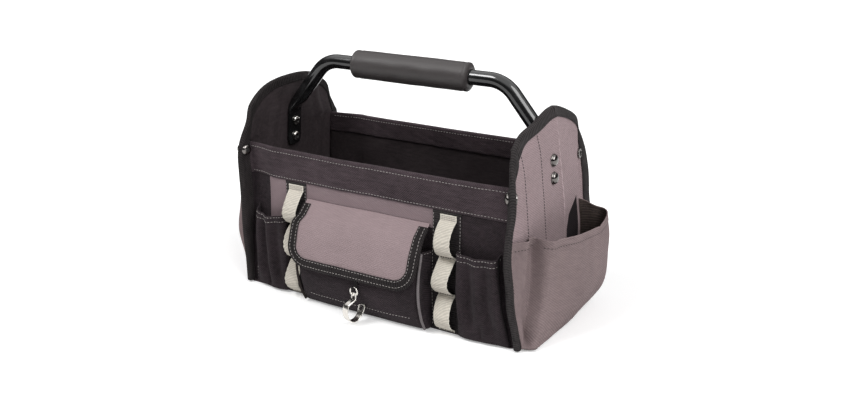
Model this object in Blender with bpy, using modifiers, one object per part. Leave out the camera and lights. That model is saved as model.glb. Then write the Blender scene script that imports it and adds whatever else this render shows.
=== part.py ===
"""Open-top tool bag with a bolted tubular handle.

The origin is the middle of the underside. X runs along the bag, Y from its front to its rear and
Z up. Lengths are in metres, and each fabric piece is a layer of its own with a small gap to the
next one.
"""
import math

import bmesh
import bpy
from mathutils import Matrix, Vector

# Body of the bag
BASE_LENGTH = 0.430
SHOULDER_NARROWING = 0.003
SHOULDER_LENGTH = BASE_LENGTH - SHOULDER_NARROWING
TOP_NARROWING = 0.020
TOP_LENGTH = BASE_LENGTH - TOP_NARROWING
FLARE_SLOPE = 0.09
BODY_DEPTH = 0.215
WALL_HEIGHT = 0.210
SHOULDER_DROP = 0.040
SHOULDER_HEIGHT = WALL_HEIGHT - SHOULDER_DROP
ARCH_OVER_WALL = 0.078
END_HEIGHT = WALL_HEIGHT + ARCH_OVER_WALL
ARCH_POWER = 2.2
ARCH_CORNER_SHARE = 0.25
FIN_BASE = 0.008
FIN_WIDTH = 0.0205
WALL_BEND = 0.004

# Layers
GAP = 0.0003
FABRIC = 0.0015
LINING = 0.0012
END_BOARD = 0.0015
TAPE = 0.0012
BASE_FABRIC = 0.002
BASE_BOARD = 0.003
BASE_CORNER = 0.010
BOARD_CLEARANCE = 0.0015
END_BOARD_INSET = 0.009
END_BOARD_TOP_INSET = 0.014
END_BOARD_FOOT = 0.008
FIN_SETBACK = 0.0008

# Hem bands and edge binding
BAND_HEIGHT = 0.043
BAND_INSIDE = 0.030
BAND_FOLD_SHARE = 0.7
BAND_ROW = 0.002
BINDING_WIDTH = 0.011
BINDING_STEP_HEIGHT = 0.006

# Handle
TUBE_RADIUS = 0.010
LEG_FOOT_DROP = 0.027
LEG_FOOT_HEIGHT = WALL_HEIGHT - LEG_FOOT_DROP
LEG_FLAT_LENGTH = 0.0575
LEG_BEND_HEIGHT = LEG_FOOT_HEIGHT + LEG_FLAT_LENGTH
HANDLE_RISE = 0.073
HANDLE_HEIGHT = LEG_BEND_HEIGHT + HANDLE_RISE
HANDLE_SLOPE = math.radians(50)
LOWER_BEND_RADIUS = 0.030
UPPER_BEND_RADIUS = 0.045
LEG_WIDTH = 0.028
LEG_THICKNESS = 0.005
FLAT_BLEND_LENGTH = 0.034
LEG_END_ROUND = 0.011
LEG_SQUARENESS = 5.0
ROUND_SQUARENESS = 2.0
GRIP_SHORTENING = 0.229
GRIP_LENGTH = TOP_LENGTH - GRIP_SHORTENING
GRIP_RADIUS = 0.019
GRIP_EDGE = 0.006
GRIP_CLEARANCE = 0.0003

# Handle bolts and corner rivets
BOLT_RISES = (0.013, 0.0365)
BOLT_RADIUS = 0.0025
BOLT_HEAD_RADIUS = 0.0066
BOLT_HEAD_HEIGHT = 0.0035
BOLT_END = 0.0040
NUT_RADIUS = 0.0085
NUT_HEIGHT = 0.0062
NUT_RIM = 0.0012
NUT_FLOOR = 0.0003
HOLE_CLEARANCE = 0.0003
RIVET_DROP = 0.013
RIVET_HEIGHT = WALL_HEIGHT - RIVET_DROP
RIVET_EDGE = 0.0075
RIVET_SHANK = 0.0025
RIVET_HEAD_RADIUS = 0.0072
RIVET_HEAD_HEIGHT = 0.0042
RIVET_RIM = 0.0010
RIVET_RING_RADIUS = 0.0070
RIVET_RING_HEIGHT = 0.0022
RIVET_DIMPLE_RADIUS = 0.0034
RIVET_DIMPLE_DEPTH = 0.0016

# Loop strips on the front
STRIP_INSET = 0.0965
STRIP_CENTRE = BASE_LENGTH / 2 - STRIP_INSET
STRIP_WIDTH = 0.024
STRIP_DROP = 0.004
STRIP_TOP = WALL_HEIGHT - BAND_HEIGHT - STRIP_DROP
STRIP_FOOT = 0.0035
LOOP_COUNT = 3
LOOP_BULGE = 0.016
SEWN_TOP = 0.008
SEWN_BETWEEN = 0.003
BACKING_WIDTH = 0.0285
LOOP_SHARES = (0.12, 0.3, 0.5, 0.7, 0.86, 0.96)
LOOP_SKEW = 1.25
LOOP_FULLNESS = 0.75

# Pocket with the flap
POCKET_CENTRE = -0.004
POCKET_INSET = 0.020
POCKET_HALF = STRIP_CENTRE - POCKET_INSET
FLAP_DROP = 0.017
FLAP_HINGE_HEIGHT = STRIP_TOP - FLAP_DROP
POCKET_DROP = 0.034
POCKET_HEIGHT = FLAP_HINGE_HEIGHT - POCKET_DROP
POCKET_LEVELS = 8
POCKET_DEPTH = 0.034
POCKET_FOOT = 0.004
POCKET_SQUARENESS = 7.0
POCKET_DEPTH_SHARES = ((0.0, 0.34), (0.06, 0.46), (0.18, 0.72), (0.38, 0.95), (0.55, 1.0),
                       (0.75, 0.93), (0.90, 0.79), (1.0, 0.68))
PIPING_RADIUS = 0.0018
PIPING_SHARES = (0.5, 0.667, 0.833)
FLAP_CENTRE = -0.006
FLAP_INSET = 0.002
FLAP_HALF = POCKET_HALF - FLAP_INSET
FLAP_SHOULDER_STEPS = 5
FLAP_SHOULDER_SKEW = 1.25
FLAP_DROOP_POWER = 3
FLAP_BOTTOM_LEVEL = 4
FLAP_CORNER = 0.030
FLAP_EDGE_DROP = 0.0012
FLAP_BORDER_WIDTH = 0.012
FLAP_BORDER_START = 1.1
BORDER_GAP = 0.0005
PATCH = 0.001
PATCH_HALF = 0.035
PATCH_LEVELS = (5, 7)

# Corner pockets beside the strips
CORNER_INSET = 0.046
CORNER_CENTRE = BASE_LENGTH / 2 - CORNER_INSET
CORNER_HALF = 0.0325
CORNER_HEIGHT = 0.110
CORNER_DEPTH = 0.016
CORNER_SQUARENESS = 3.2
CORNER_DEPTH_SHARES = ((0.0, 0.55), (0.25, 0.8), (0.6, 0.85), (1.0, 1.0))

# Pockets on the ends
SIDE_INSET = 0.0065
SIDE_HALF = BODY_DEPTH / 2 - SIDE_INSET
SIDE_HEIGHT = 0.136
SIDE_DEPTH = 0.046
SIDE_SQUARENESS = 2.7
SIDE_DEPTH_SHARES = ((0.0, 0.50), (0.2, 0.62), (0.45, 0.72), (0.75, 0.88), (1.0, 1.0))
POCKET_FLOOR_INSET = 0.007
POCKET_FLOOR_LIFT = 0.0002

# Tool strip on the inside of the front wall
TOOL_STRIP_DROP = 0.024
TOOL_STRIP_WIDTH = 0.038
TOOL_STRIP_HIGH = WALL_HEIGHT - BAND_INSIDE - TOOL_STRIP_DROP
TOOL_STRIP_LOW = TOOL_STRIP_HIGH - TOOL_STRIP_WIDTH
TOOL_STRIP_INSET = 0.047
TOOL_STRIP_HALF = BASE_LENGTH / 2 - TOOL_STRIP_INSET
TOOL_LOOP_COUNT = 6
TOOL_LOOP_BULGE = 0.018
TOOL_SEWN = 0.004
TOOL_LOOP_SHARES = (0.1, 0.25, 0.5, 0.75, 0.9)
TOOL_LOOP_FULLNESS = 0.6

# Tape hook
RING_DROP = 0.0095
RING_HEIGHT = POCKET_HEIGHT * FLAP_BOTTOM_LEVEL / POCKET_LEVELS - RING_DROP
RING_RADIUS = 0.0055
RING_WIRE = 0.00125
HOOK_WIDTH = 0.010
HOOK_STEEL = 0.0015
HOOK_STANDOFF = 0.0010
HOOK_BAR = 0.0025
HOOK_WINDOW_SIDE = 0.002
HOOK_WINDOW = 0.0065
HOOK_TIP_BAR = 0.0022
HOOK_TIP_WINDOW = 0.0065
HOOK_BOW_RADIUS = 0.0135
HOOK_BOW_DEPTH = 0.0220
HOOK_BOW_OFFSET = 0.00025
HOOK_BOW_START = math.radians(150)
HOOK_BOW_TURN = math.radians(175)
TAB_WIDTH = 0.005
TAB_SEWN = 0.010
TAB_LOOP_RADIUS = 0.0031
TAB_WRAP = math.radians(215)

# Smoothness, in faces
ROUND_STEPS = 12
TUBE_STEPS = 14
GRIP_STEPS = 20
EDGE_STEPS = 4
BEND_STEPS = 3
DOME_STEPS = 3
FOLD_STEPS = 3
WALL_LEVELS = 3
END_COLUMNS = 8
ARCH_STEPS = 3
LINING_COLUMNS = 4
LINING_ARCH_SHARES = (0.09, 0.35, 0.67, 1.0)
LOWER_BEND_STEPS = 4
UPPER_BEND_STEPS = 5
POCKET_COLUMNS = 12
CORNER_COLUMNS = 10
SIDE_COLUMNS = 14
FLAP_COLUMNS = 8
FLAP_CORNER_STEPS = 6
RING_STEPS = 12
TAB_STEPS = 7
HOOK_STEPS = 10

COLOURS = {
    "black_fabric": ((0.045, 0.036, 0.038), 0.92, 0.0),
    "grey_twill": ((0.300, 0.250, 0.258), 0.90, 0.0),
    "webbing_black": ((0.022, 0.020, 0.020), 0.85, 0.0),
    "webbing_light": ((0.560, 0.530, 0.470), 0.85, 0.0),
    "lining": ((0.022, 0.021, 0.022), 0.90, 0.0),
    "board": ((0.030, 0.030, 0.032), 0.60, 0.0),
    "tube_paint": ((0.015, 0.015, 0.016), 0.25, 0.0),
    "foam": ((0.040, 0.038, 0.038), 0.65, 0.0),
    "dark_nickel": ((0.180, 0.165, 0.155), 0.25, 1.0),
    "bright_steel": ((0.700, 0.680, 0.640), 0.22, 1.0),
}

LEFT_RIGHT = (("left", -1), ("right", 1))
FRONT_REAR = (("front", -1), ("rear", 1))
FLOOR_TOP = BASE_FABRIC + GAP
END_STACK = FABRIC + GAP + END_BOARD + GAP + LINING
FIN_STACK = FABRIC + GAP + TAPE + GAP + FABRIC + GAP + TAPE
WALL_STACK = FABRIC + GAP + LINING
HINGE_OUT = FABRIC / 2 + GAP


def collection(name):
    """Collection of that name, linked to the scene."""
    found = bpy.data.collections.get(name)
    if found is None:
        found = bpy.data.collections.new(name)
        bpy.context.scene.collection.children.link(found)
    return found


def finish(obj, look):
    """Put a mesh object in the bag's collection with its material."""
    material = bpy.data.materials.get(look)
    if material is None:
        colour, rough, metal = COLOURS[look]
        material = bpy.data.materials.new(look)
        material.use_nodes = True
        shader = material.node_tree.nodes["Principled BSDF"]
        shader.inputs["Base Color"].default_value = (*colour, 1.0)
        shader.inputs["Roughness"].default_value = rough
        shader.inputs["Metallic"].default_value = metal
    obj.data.materials.append(material)
    collection("tool_bag").objects.link(obj)
    return obj


def blend(start, end, share):
    """Value a share of the way from start to end."""
    return start + (end - start) * share


def smooth(share):
    """Smooth step of a share, held between 0 and 1."""
    share = min(max(share, 0.0), 1.0)
    return share * share * (3 - 2 * share)


def along(table, share):
    """Value of a table of (place, value) shares at a share, on straight lines."""
    for (low, first), (high, second) in zip(table, table[1:]):
        if share <= high:
            return blend(first, second, (share - low) / (high - low))
    return table[-1][1]


def rounded(part, squareness):
    """Sine or cosine of a ring, drawn out towards a square."""
    return math.copysign(abs(part) ** (2 / squareness), part)


def spaced(start, end, count):
    """Evenly spaced values from start to end, count steps apart."""
    return [blend(start, end, k / count) for k in range(count + 1)]


def cloth(name, columns, rows, place, thickness, look, skip=(), pivot=Vector()):
    """Fabric or strip: a grid whose vertices place(column, row) moves, thickened both ways.

    skip lists the faces, by column and row, that are left out as windows. pivot is the object's
    origin, on the axis of a piece that turns.
    """
    bm = bmesh.new()
    bmesh.ops.create_grid(bm, x_segments=columns, y_segments=rows, size=1.0)
    cells = {}
    for vert in bm.verts:
        cells[vert] = (round((vert.co.x + 1) / 2 * columns), round((vert.co.y + 1) / 2 * rows))
    gone = []
    for face in bm.faces:
        cell = tuple(min(cells[vert][axis] for vert in face.verts) for axis in (0, 1))
        if cell in skip:
            gone.append(face)
    for vert, cell in cells.items():
        vert.co = place(*cell) - pivot
    bmesh.ops.delete(bm, geom=gone, context="FACES")
    mesh = bpy.data.meshes.new(name)
    bm.to_mesh(mesh)
    bm.free()
    obj = finish(bpy.data.objects.new(name, mesh), look)
    obj.location = pivot
    solid = obj.modifiers.new("Thickness", "SOLIDIFY")
    solid.thickness = thickness
    solid.offset = 0
    solid.use_even_offset = True
    return obj


def turned(name, profile, place, look, steps=ROUND_STEPS):
    """Turned piece: a profile of (radius, height), run down its outer side, round its own Z."""
    mesh = bpy.data.meshes.new(name)
    closed = min(radius for radius, height in profile) > 0
    count = len(profile)
    edges = [(k, (k + 1) % count) for k in range(count if closed else count - 1)]
    mesh.from_pydata([(radius, 0, height) for radius, height in profile], edges, [])
    obj = finish(bpy.data.objects.new(name, mesh), look)
    screw = obj.modifiers.new("Turn", "SCREW")
    screw.steps = steps
    screw.render_steps = steps
    screw.use_merge_vertices = True
    screw.merge_threshold = 0.00001
    obj.matrix_world = place
    return obj


def wire(name, points, radius, look, cyclic=False):
    """Round wire or cord along points."""
    curve = bpy.data.curves.new(name, "CURVE")
    curve.dimensions = "3D"
    curve.bevel_depth = radius
    curve.bevel_resolution = 1
    curve.use_fill_caps = not cyclic
    spline = curve.splines.new("POLY")
    spline.points.add(len(points) - 1)
    for point, co in zip(spline.points, points):
        point.co = (*co, 1.0)
    spline.use_cyclic_u = cyclic
    return finish(bpy.data.objects.new(name, curve), look)


def facing(origin, axis):
    """Placement at origin whose Z points along axis and whose Y stays level."""
    z = Vector(axis).normalized()
    y = z.cross(Vector((1, 0, 0)) if abs(z.x) < 0.5 else Vector((0, 0, 1))).normalized()
    x = y.cross(z)
    place = Matrix((x, y, z)).transposed().to_4x4()
    place.translation = origin
    return place


def drill(name, place, radius, depth, pieces):
    """Round hole through pieces, along the Z of place from depth inside to depth outside."""
    bpy.ops.mesh.primitive_cylinder_add(vertices=ROUND_STEPS, radius=radius, depth=2 * depth)
    tool = bpy.context.object
    tool.name = name
    for owner in list(tool.users_collection):
        owner.objects.unlink(tool)
    collection("cutters").objects.link(tool)
    tool.matrix_world = place
    tool.hide_render = True
    tool.display_type = "WIRE"
    for piece in pieces:
        cut = piece.modifiers.new(name, "BOOLEAN")
        cut.object = tool
        cut.operation = "DIFFERENCE"


def end_slope():
    """Change of the end's half length with height above the shoulder."""
    return (TOP_LENGTH - SHOULDER_LENGTH) / 2 / (END_HEIGHT - SHOULDER_HEIGHT)


def end_x(z):
    """Outer face of the right end at height z: it flares over the floor, then leans in straight."""
    slope = end_slope()
    if z >= SHOULDER_HEIGHT:
        return SHOULDER_LENGTH / 2 + slope * (z - SHOULDER_HEIGHT)
    t = z / SHOULDER_HEIGHT
    share = 3 * t ** 2 - 2 * t ** 3
    ends = blend(BASE_LENGTH / 2, SHOULDER_LENGTH / 2, share)
    slopes = (t ** 3 - 2 * t ** 2 + t) * FLARE_SLOPE + (t ** 3 - t ** 2) * slope
    return ends + slopes * SHOULDER_HEIGHT


def arch_half(z):
    """Half width of an end at height z: it widens up to the shoulder, then closes in an arch."""
    if z <= SHOULDER_HEIGHT:
        share = smooth((z - FLOOR_TOP) / (SHOULDER_HEIGHT - FLOOR_TOP))
        return BODY_DEPTH / 2 + blend(FIN_BASE, FIN_WIDTH, share)
    share = (z - SHOULDER_HEIGHT) / (END_HEIGHT - SHOULDER_HEIGHT)
    return (BODY_DEPTH / 2 + FIN_WIDTH) * (1 - share ** ARCH_POWER) ** (1 / ARCH_POWER)


def fin(z):
    """How far the bound fin stands out from the front or rear wall at height z."""
    return arch_half(z) - BODY_DEPTH / 2


def levels(top):
    """Heights of a wall's rows: the same up to the shoulder in every layer."""
    low = spaced(FLOOR_TOP, SHOULDER_HEIGHT, WALL_LEVELS)
    low.append((SHOULDER_HEIGHT + WALL_HEIGHT) / 2)
    return [z for z in low if z < top - BAND_ROW] + [top]


def arch_point(share, base, inset, top_inset):
    """Place (y, z) a share of the way over the arch, from the height base in front to base behind."""
    rise = END_HEIGHT - top_inset - SHOULDER_HEIGHT
    start = math.asin(((base - SHOULDER_HEIGHT) / rise) ** (ARCH_POWER / 2))
    angle = blend(start, math.pi - start, share)
    half = BODY_DEPTH / 2 + FIN_WIDTH - inset
    return Vector((-half * rounded(math.cos(angle), ARCH_POWER),
                   SHOULDER_HEIGHT + rise * rounded(math.sin(angle), ARCH_POWER)))


def arch_rows(base, foot_half, inset, top_inset, shares):
    """Rows of (y, z) that fill the arch above the height base, which starts foot_half wide."""
    rows = []
    corner = ARCH_CORNER_SHARE
    low = Vector((foot_half, 0))
    foot = Vector((0, base))
    corners = [arch_point(place, base, inset, top_inset) for place in (corner, 1 - corner)]
    for v in shares:
        left = arch_point(corner * v, base, inset, top_inset)
        right = arch_point(1 - corner * v, base, inset, top_inset)
        row = []
        for u in spaced(0, 1, END_COLUMNS):
            bottom = foot + low * blend(-1, 1, u)
            top = arch_point(blend(corner, 1 - corner, u), base, inset, top_inset)
            ends = (foot - low).lerp(corners[0], v).lerp((foot + low).lerp(corners[1], v), u)
            row.append(bottom.lerp(top, v) + left.lerp(right, u) - ends)
        rows.append([tuple(point) for point in row])
    return rows


def end_place(side, y, z, depth):
    """Point a depth inside the outer face of an end."""
    return Vector((side * (end_x(z) - depth), y, z))


def end_normal(side):
    """Direction out of an end, above its shoulder."""
    return Vector((side, 0, -end_slope())).normalized()


def level_row(half, z):
    """Row of (y, z) straight across an end, half wide each way."""
    return [(y, z) for y in spaced(-half, half, END_COLUMNS)]


def add_end_layer(name, side, rows, depth, thickness, look):
    """One layer of an end, its middle a depth inside the outer face."""
    columns = len(rows[0]) - 1
    return cloth(name, columns, len(rows) - 1,
                 lambda i, j: end_place(side, *rows[j][i], depth), thickness, look)


def panel_rows():
    """Rows of the outer end panel, fins included."""
    rows = [level_row(arch_half(z), z) for z in levels(WALL_HEIGHT)]
    return rows + arch_rows(WALL_HEIGHT, arch_half(WALL_HEIGHT), 0, 0, spaced(0, 1, ARCH_STEPS)[1:])


def lining_rows():
    """Rows of the end lining: between the walls below, and out to the binding above them."""
    narrow = BODY_DEPTH / 2 - WALL_STACK - GAP - TAPE - GAP
    base = WALL_HEIGHT + TAPE
    inset = FIN_SETBACK
    rows = [level_row(narrow, z) for z in levels(base)]
    wide = -arch_point(0, base, inset, inset).x
    return rows + arch_rows(base, wide, inset, inset, LINING_ARCH_SHARES)


def board_rows():
    """Rows of the stiffener, well inside the walls."""
    half = BODY_DEPTH / 2 - END_BOARD_INSET
    rows = [level_row(half, z) for z in [FLOOR_TOP + END_BOARD_FOOT] + levels(WALL_HEIGHT)[1:]]
    inset = END_BOARD_INSET + FIN_WIDTH
    return rows + arch_rows(WALL_HEIGHT, half, inset, END_BOARD_TOP_INSET, spaced(0, 1, ARCH_STEPS)[1:])


def outline():
    """Edge of an end panel as (y, z), from the front foot over the arch to the rear foot."""
    rows = panel_rows()
    front = [row[0] for row in rows[:-1]]
    rear = [row[-1] for row in reversed(rows[:-1])]
    return front + rows[-1] + rear


def add_binding(name, side):
    """Tape folded round the edge of an end and its fins."""
    path = outline()
    inward = []
    for k, here in enumerate(path):
        before = path[max(k - 1, 0)]
        after = path[min(k + 1, len(path) - 1)]
        run = Vector((after[0] - before[0], after[1] - before[1])).normalized()
        inward.append(Vector((run.y, -run.x)))
    last = FOLD_STEPS + 2

    def place(i, j):
        y, z = path[i]
        stack = blend(FIN_STACK, END_STACK, smooth((z - WALL_HEIGHT) / BINDING_STEP_HEIGHT))
        outer = -(GAP + TAPE / 2)
        inner = stack + GAP + TAPE / 2
        radius = (inner - outer) / 2
        if j == 0:
            width, depth = BINDING_WIDTH, outer
        elif j == last:
            room = fin(min(z, WALL_HEIGHT)) - WALL_BEND - FABRIC / 2 - GAP
            width = min(BINDING_WIDTH, room)
            depth = inner
        else:
            angle = math.pi * (j - 1) / FOLD_STEPS
            width = -radius * math.sin(angle)
            depth = (outer + inner) / 2 - radius * math.cos(angle)
        spot = Vector((y, z)) + inward[i] * width
        foot = max(spot.y, FLOOR_TOP)
        return end_place(side, spot.x, foot, depth)

    return cloth(name, len(path) - 1, last, place, TAPE, "webbing_black")


def wall_station(k, z):
    """Middle of a wall's fabric, seen from above, at station k of its right half.

    Returns x, distance out from the bag's centre plane, and the outward direction. Stations 0 to 2
    are the flat wall, then the bend, and the last two run out along the fin.
    """
    end = end_x(z) - FABRIC - GAP - TAPE - GAP - FABRIC / 2
    wall = BODY_DEPTH / 2 - FABRIC / 2
    if k <= 2:
        return Vector(((end - WALL_BEND) * k / 2, wall)), Vector((0, 1))
    if k <= 2 + BEND_STEPS:
        angle = math.pi / 2 * (k - 2) / BEND_STEPS
        out = Vector((-math.sin(angle), math.cos(angle)))
        return Vector((end - WALL_BEND, wall + WALL_BEND)) - out * WALL_BEND, out
    tip = arch_half(z) - FIN_SETBACK
    return Vector((end, blend(wall + WALL_BEND, tip, (k - 2 - BEND_STEPS) / 2))), Vector((-1, 0))


LAST_STATION = 4 + BEND_STEPS


def wall_place(i, z, front, flat_lift, fin_lift):
    """Point of a wall layer at column i, lifted outward from the wall's middle."""
    k = i - LAST_STATION
    spot, out = wall_station(abs(k), z)
    lift = blend(flat_lift, fin_lift, min(max((abs(k) - 2) / BEND_STEPS, 0), 1))
    spot = spot + out * lift
    return Vector((math.copysign(spot.x, k), front * spot.y, z))


def add_walls():
    """Front and rear walls with their linings and hem bands."""
    pieces = {}
    wall_top = WALL_HEIGHT - GAP - TAPE
    rows = levels(wall_top)
    outer = FABRIC / 2 + GAP + TAPE / 2
    inner_flat = -(FABRIC / 2 + GAP + LINING + GAP + TAPE / 2)
    fold = TAPE / 2 + GAP
    low = WALL_HEIGHT - BAND_HEIGHT
    heights = [low] + [z for z in rows if low + BAND_ROW < z]
    band = [(1, z) for z in heights]
    band += [(BAND_FOLD_SHARE, wall_top + fold), (-BAND_FOLD_SHARE, wall_top + fold), (-1, wall_top),
             (-1, WALL_HEIGHT - BAND_INSIDE)]
    for end, front in FRONT_REAR:
        pieces[end] = cloth(f"{end}_panel", 2 * LAST_STATION, len(rows) - 1,
                            lambda i, j: wall_place(i, rows[j], front, 0, 0), FABRIC,
                            "grey_twill" if front < 0 else "black_fabric")

        def band_place(i, j):
            share, z = band[j]
            middle_flat = (outer + inner_flat) / 2
            flat = middle_flat + share * (outer - middle_flat)
            return wall_place(i, z, front, flat, share * outer)

        pieces[f"{end}_band"] = cloth(f"{end}_top_band", 2 * LAST_STATION, len(band) - 1, band_place, TAPE,
                                      "black_fabric")
        depth = BODY_DEPTH / 2 - FABRIC - GAP - LINING / 2

        def lining_place(i, j):
            x = wall_station(2, rows[j])[0].x
            return Vector((blend(-x, x, i / LINING_COLUMNS), front * depth, rows[j]))

        cloth(f"{end}_lining", LINING_COLUMNS, len(rows) - 1, lining_place, LINING, "lining")
    return pieces


def add_base():
    """Fabric floor and the board that lies on it."""
    inside = end_x(FLOOR_TOP) - END_STACK - BOARD_CLEARANCE
    depth = BODY_DEPTH / 2 - WALL_STACK - BOARD_CLEARANCE
    for name, half_x, half_y, low, thick, look in (
            ("base_panel", BASE_LENGTH / 2, BODY_DEPTH / 2, 0, BASE_FABRIC, "black_fabric"),
            ("base_board", inside, depth, FLOOR_TOP, BASE_BOARD, "board")):
        bm = bmesh.new()
        bmesh.ops.create_cube(bm, size=1.0)
        bmesh.ops.scale(bm, vec=(2 * half_x, 2 * half_y, thick), verts=bm.verts)
        bmesh.ops.translate(bm, vec=(0, 0, low + thick / 2), verts=bm.verts)
        upright = [edge for edge in bm.edges
                   if abs(edge.verts[0].co.z - edge.verts[1].co.z) > thick / 2]
        bmesh.ops.bevel(bm, geom=upright, offset=BASE_CORNER, segments=EDGE_STEPS, affect="EDGES",
                        profile=0.5)
        mesh = bpy.data.meshes.new(name)
        bm.to_mesh(mesh)
        bm.free()
        finish(bpy.data.objects.new(name, mesh), look)


def add_ends(walls):
    """Both arched ends: panel, board, lining, binding and the rivets through the fins."""
    board_depth = FABRIC + GAP + END_BOARD / 2
    lining_depth = FABRIC + GAP + END_BOARD + GAP + LINING / 2
    layers = {}
    for hand, side in LEFT_RIGHT:
        panel = add_end_layer(f"{hand}_end_panel", side, panel_rows(), FABRIC / 2, FABRIC, "grey_twill")
        board = add_end_layer(f"{hand}_end_board", side, board_rows(), board_depth, END_BOARD, "board")
        lining = add_end_layer(f"{hand}_end_lining", side, lining_rows(), lining_depth, LINING, "lining")
        binding = add_binding(f"{hand}_edge_binding", side)
        layers[hand] = (panel, board, lining)
        for end, front in FRONT_REAR:
            y = front * (arch_half(RIVET_HEIGHT) - RIVET_EDGE)
            place = facing(end_place(side, y, RIVET_HEIGHT, 0), end_normal(side))
            add_rivet(f"{hand}_{end}_rivet", place)
            drill(f"{hand}_{end}_rivet_hole", place, RIVET_SHANK + HOLE_CLEARANCE, 2 * FIN_STACK,
                  (panel, binding, walls[end], walls[f"{end}_band"]))
    return layers


def dome(radius, height, base):
    """Profile of a low dome down to its rim, from the middle out, above base."""
    angles = spaced(0, math.pi / 2, DOME_STEPS)
    return [(radius * math.sin(angle), base + height * math.cos(angle)) for angle in angles]


def add_rivet(name, place):
    """Hollow rivet: a ring outside the end, and a dome on the face towards the wall."""
    seat = 2 * GAP + TAPE
    inner = -(FIN_STACK + seat)
    top = seat + RIVET_RING_HEIGHT
    profile = [(0, top - RIVET_DIMPLE_DEPTH), (RIVET_DIMPLE_RADIUS / 2, top - RIVET_DIMPLE_DEPTH),
               (RIVET_DIMPLE_RADIUS, top), (RIVET_RING_RADIUS - RIVET_RIM, top),
               (RIVET_RING_RADIUS, top - RIVET_RIM), (RIVET_RING_RADIUS, seat), (RIVET_SHANK, seat),
               (RIVET_SHANK, inner), (RIVET_HEAD_RADIUS, inner)]
    head = dome(RIVET_HEAD_RADIUS, RIVET_HEAD_HEIGHT - RIVET_RIM, 0)
    profile += [(radius, inner - RIVET_RIM - height) for radius, height in reversed(head)]
    turned(name, profile, place, "dark_nickel")


def leg_depth():
    """Depth of the middle of the flattened handle leg inside the end's outer face."""
    return END_STACK + GAP + LEG_THICKNESS / 2


def handle_route():
    """Middle of the handle tube in its own plane, from the left foot to the right foot."""
    lean = end_slope()
    foot = Vector((end_x(LEG_FOOT_HEIGHT) - leg_depth(), LEG_FOOT_HEIGHT))
    knee = Vector((end_x(LEG_BEND_HEIGHT) - leg_depth(), LEG_BEND_HEIGHT))
    rise = HANDLE_HEIGHT - LEG_BEND_HEIGHT
    crown = knee + Vector((-rise / math.tan(HANDLE_SLOPE), rise))
    half = [foot]
    half += bend(foot, knee, crown, LOWER_BEND_RADIUS, LOWER_BEND_STEPS)
    half += bend(knee, crown, Vector((0, HANDLE_HEIGHT)), UPPER_BEND_RADIUS, UPPER_BEND_STEPS)
    blend_end = foot + Vector((lean, 1)).normalized() * FLAT_BLEND_LENGTH / 2
    half.insert(1, blend_end)
    half.append(Vector((GRIP_LENGTH / 4, HANDLE_HEIGHT)))
    right = [Vector((point.x, point.y)) for point in half]
    left = [Vector((-point.x, point.y)) for point in half]
    return left + right[::-1]


def bend(before, corner, after, radius, steps):
    """Round bend of that radius between two straight runs that meet at corner."""
    arriving = (corner - before).normalized()
    leaving = (after - corner).normalized()
    angle = arriving.angle(leaving)
    start = corner - arriving * radius * math.tan(angle / 2)
    side = leaving - arriving * leaving.dot(arriving)
    centre = start + side.normalized() * radius
    out = side.normalized()
    turns = spaced(0, angle, steps)
    return [centre - out * radius * math.cos(turn) + arriving * radius * math.sin(turn) for turn in turns]


def handle_stations():
    """Places along the handle: the point, the way it runs, and the length from the nearer foot."""
    route = handle_route()
    lengths = [0]
    for before, after in zip(route, route[1:]):
        lengths.append(lengths[-1] + (after - before).length)
    stations = []
    for k, here in enumerate(route):
        run = (route[min(k + 1, len(route) - 1)] - route[max(k - 1, 0)]).normalized()
        stations.append((here, run, min(lengths[k], lengths[-1] - lengths[k])))
    foot, run, _ = stations[0]
    stations.insert(1, (foot + run * LEG_END_ROUND, run, LEG_END_ROUND))
    foot, run, _ = stations[-1]
    stations.insert(-1, (foot - run * LEG_END_ROUND, run, LEG_END_ROUND))
    return stations


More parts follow.
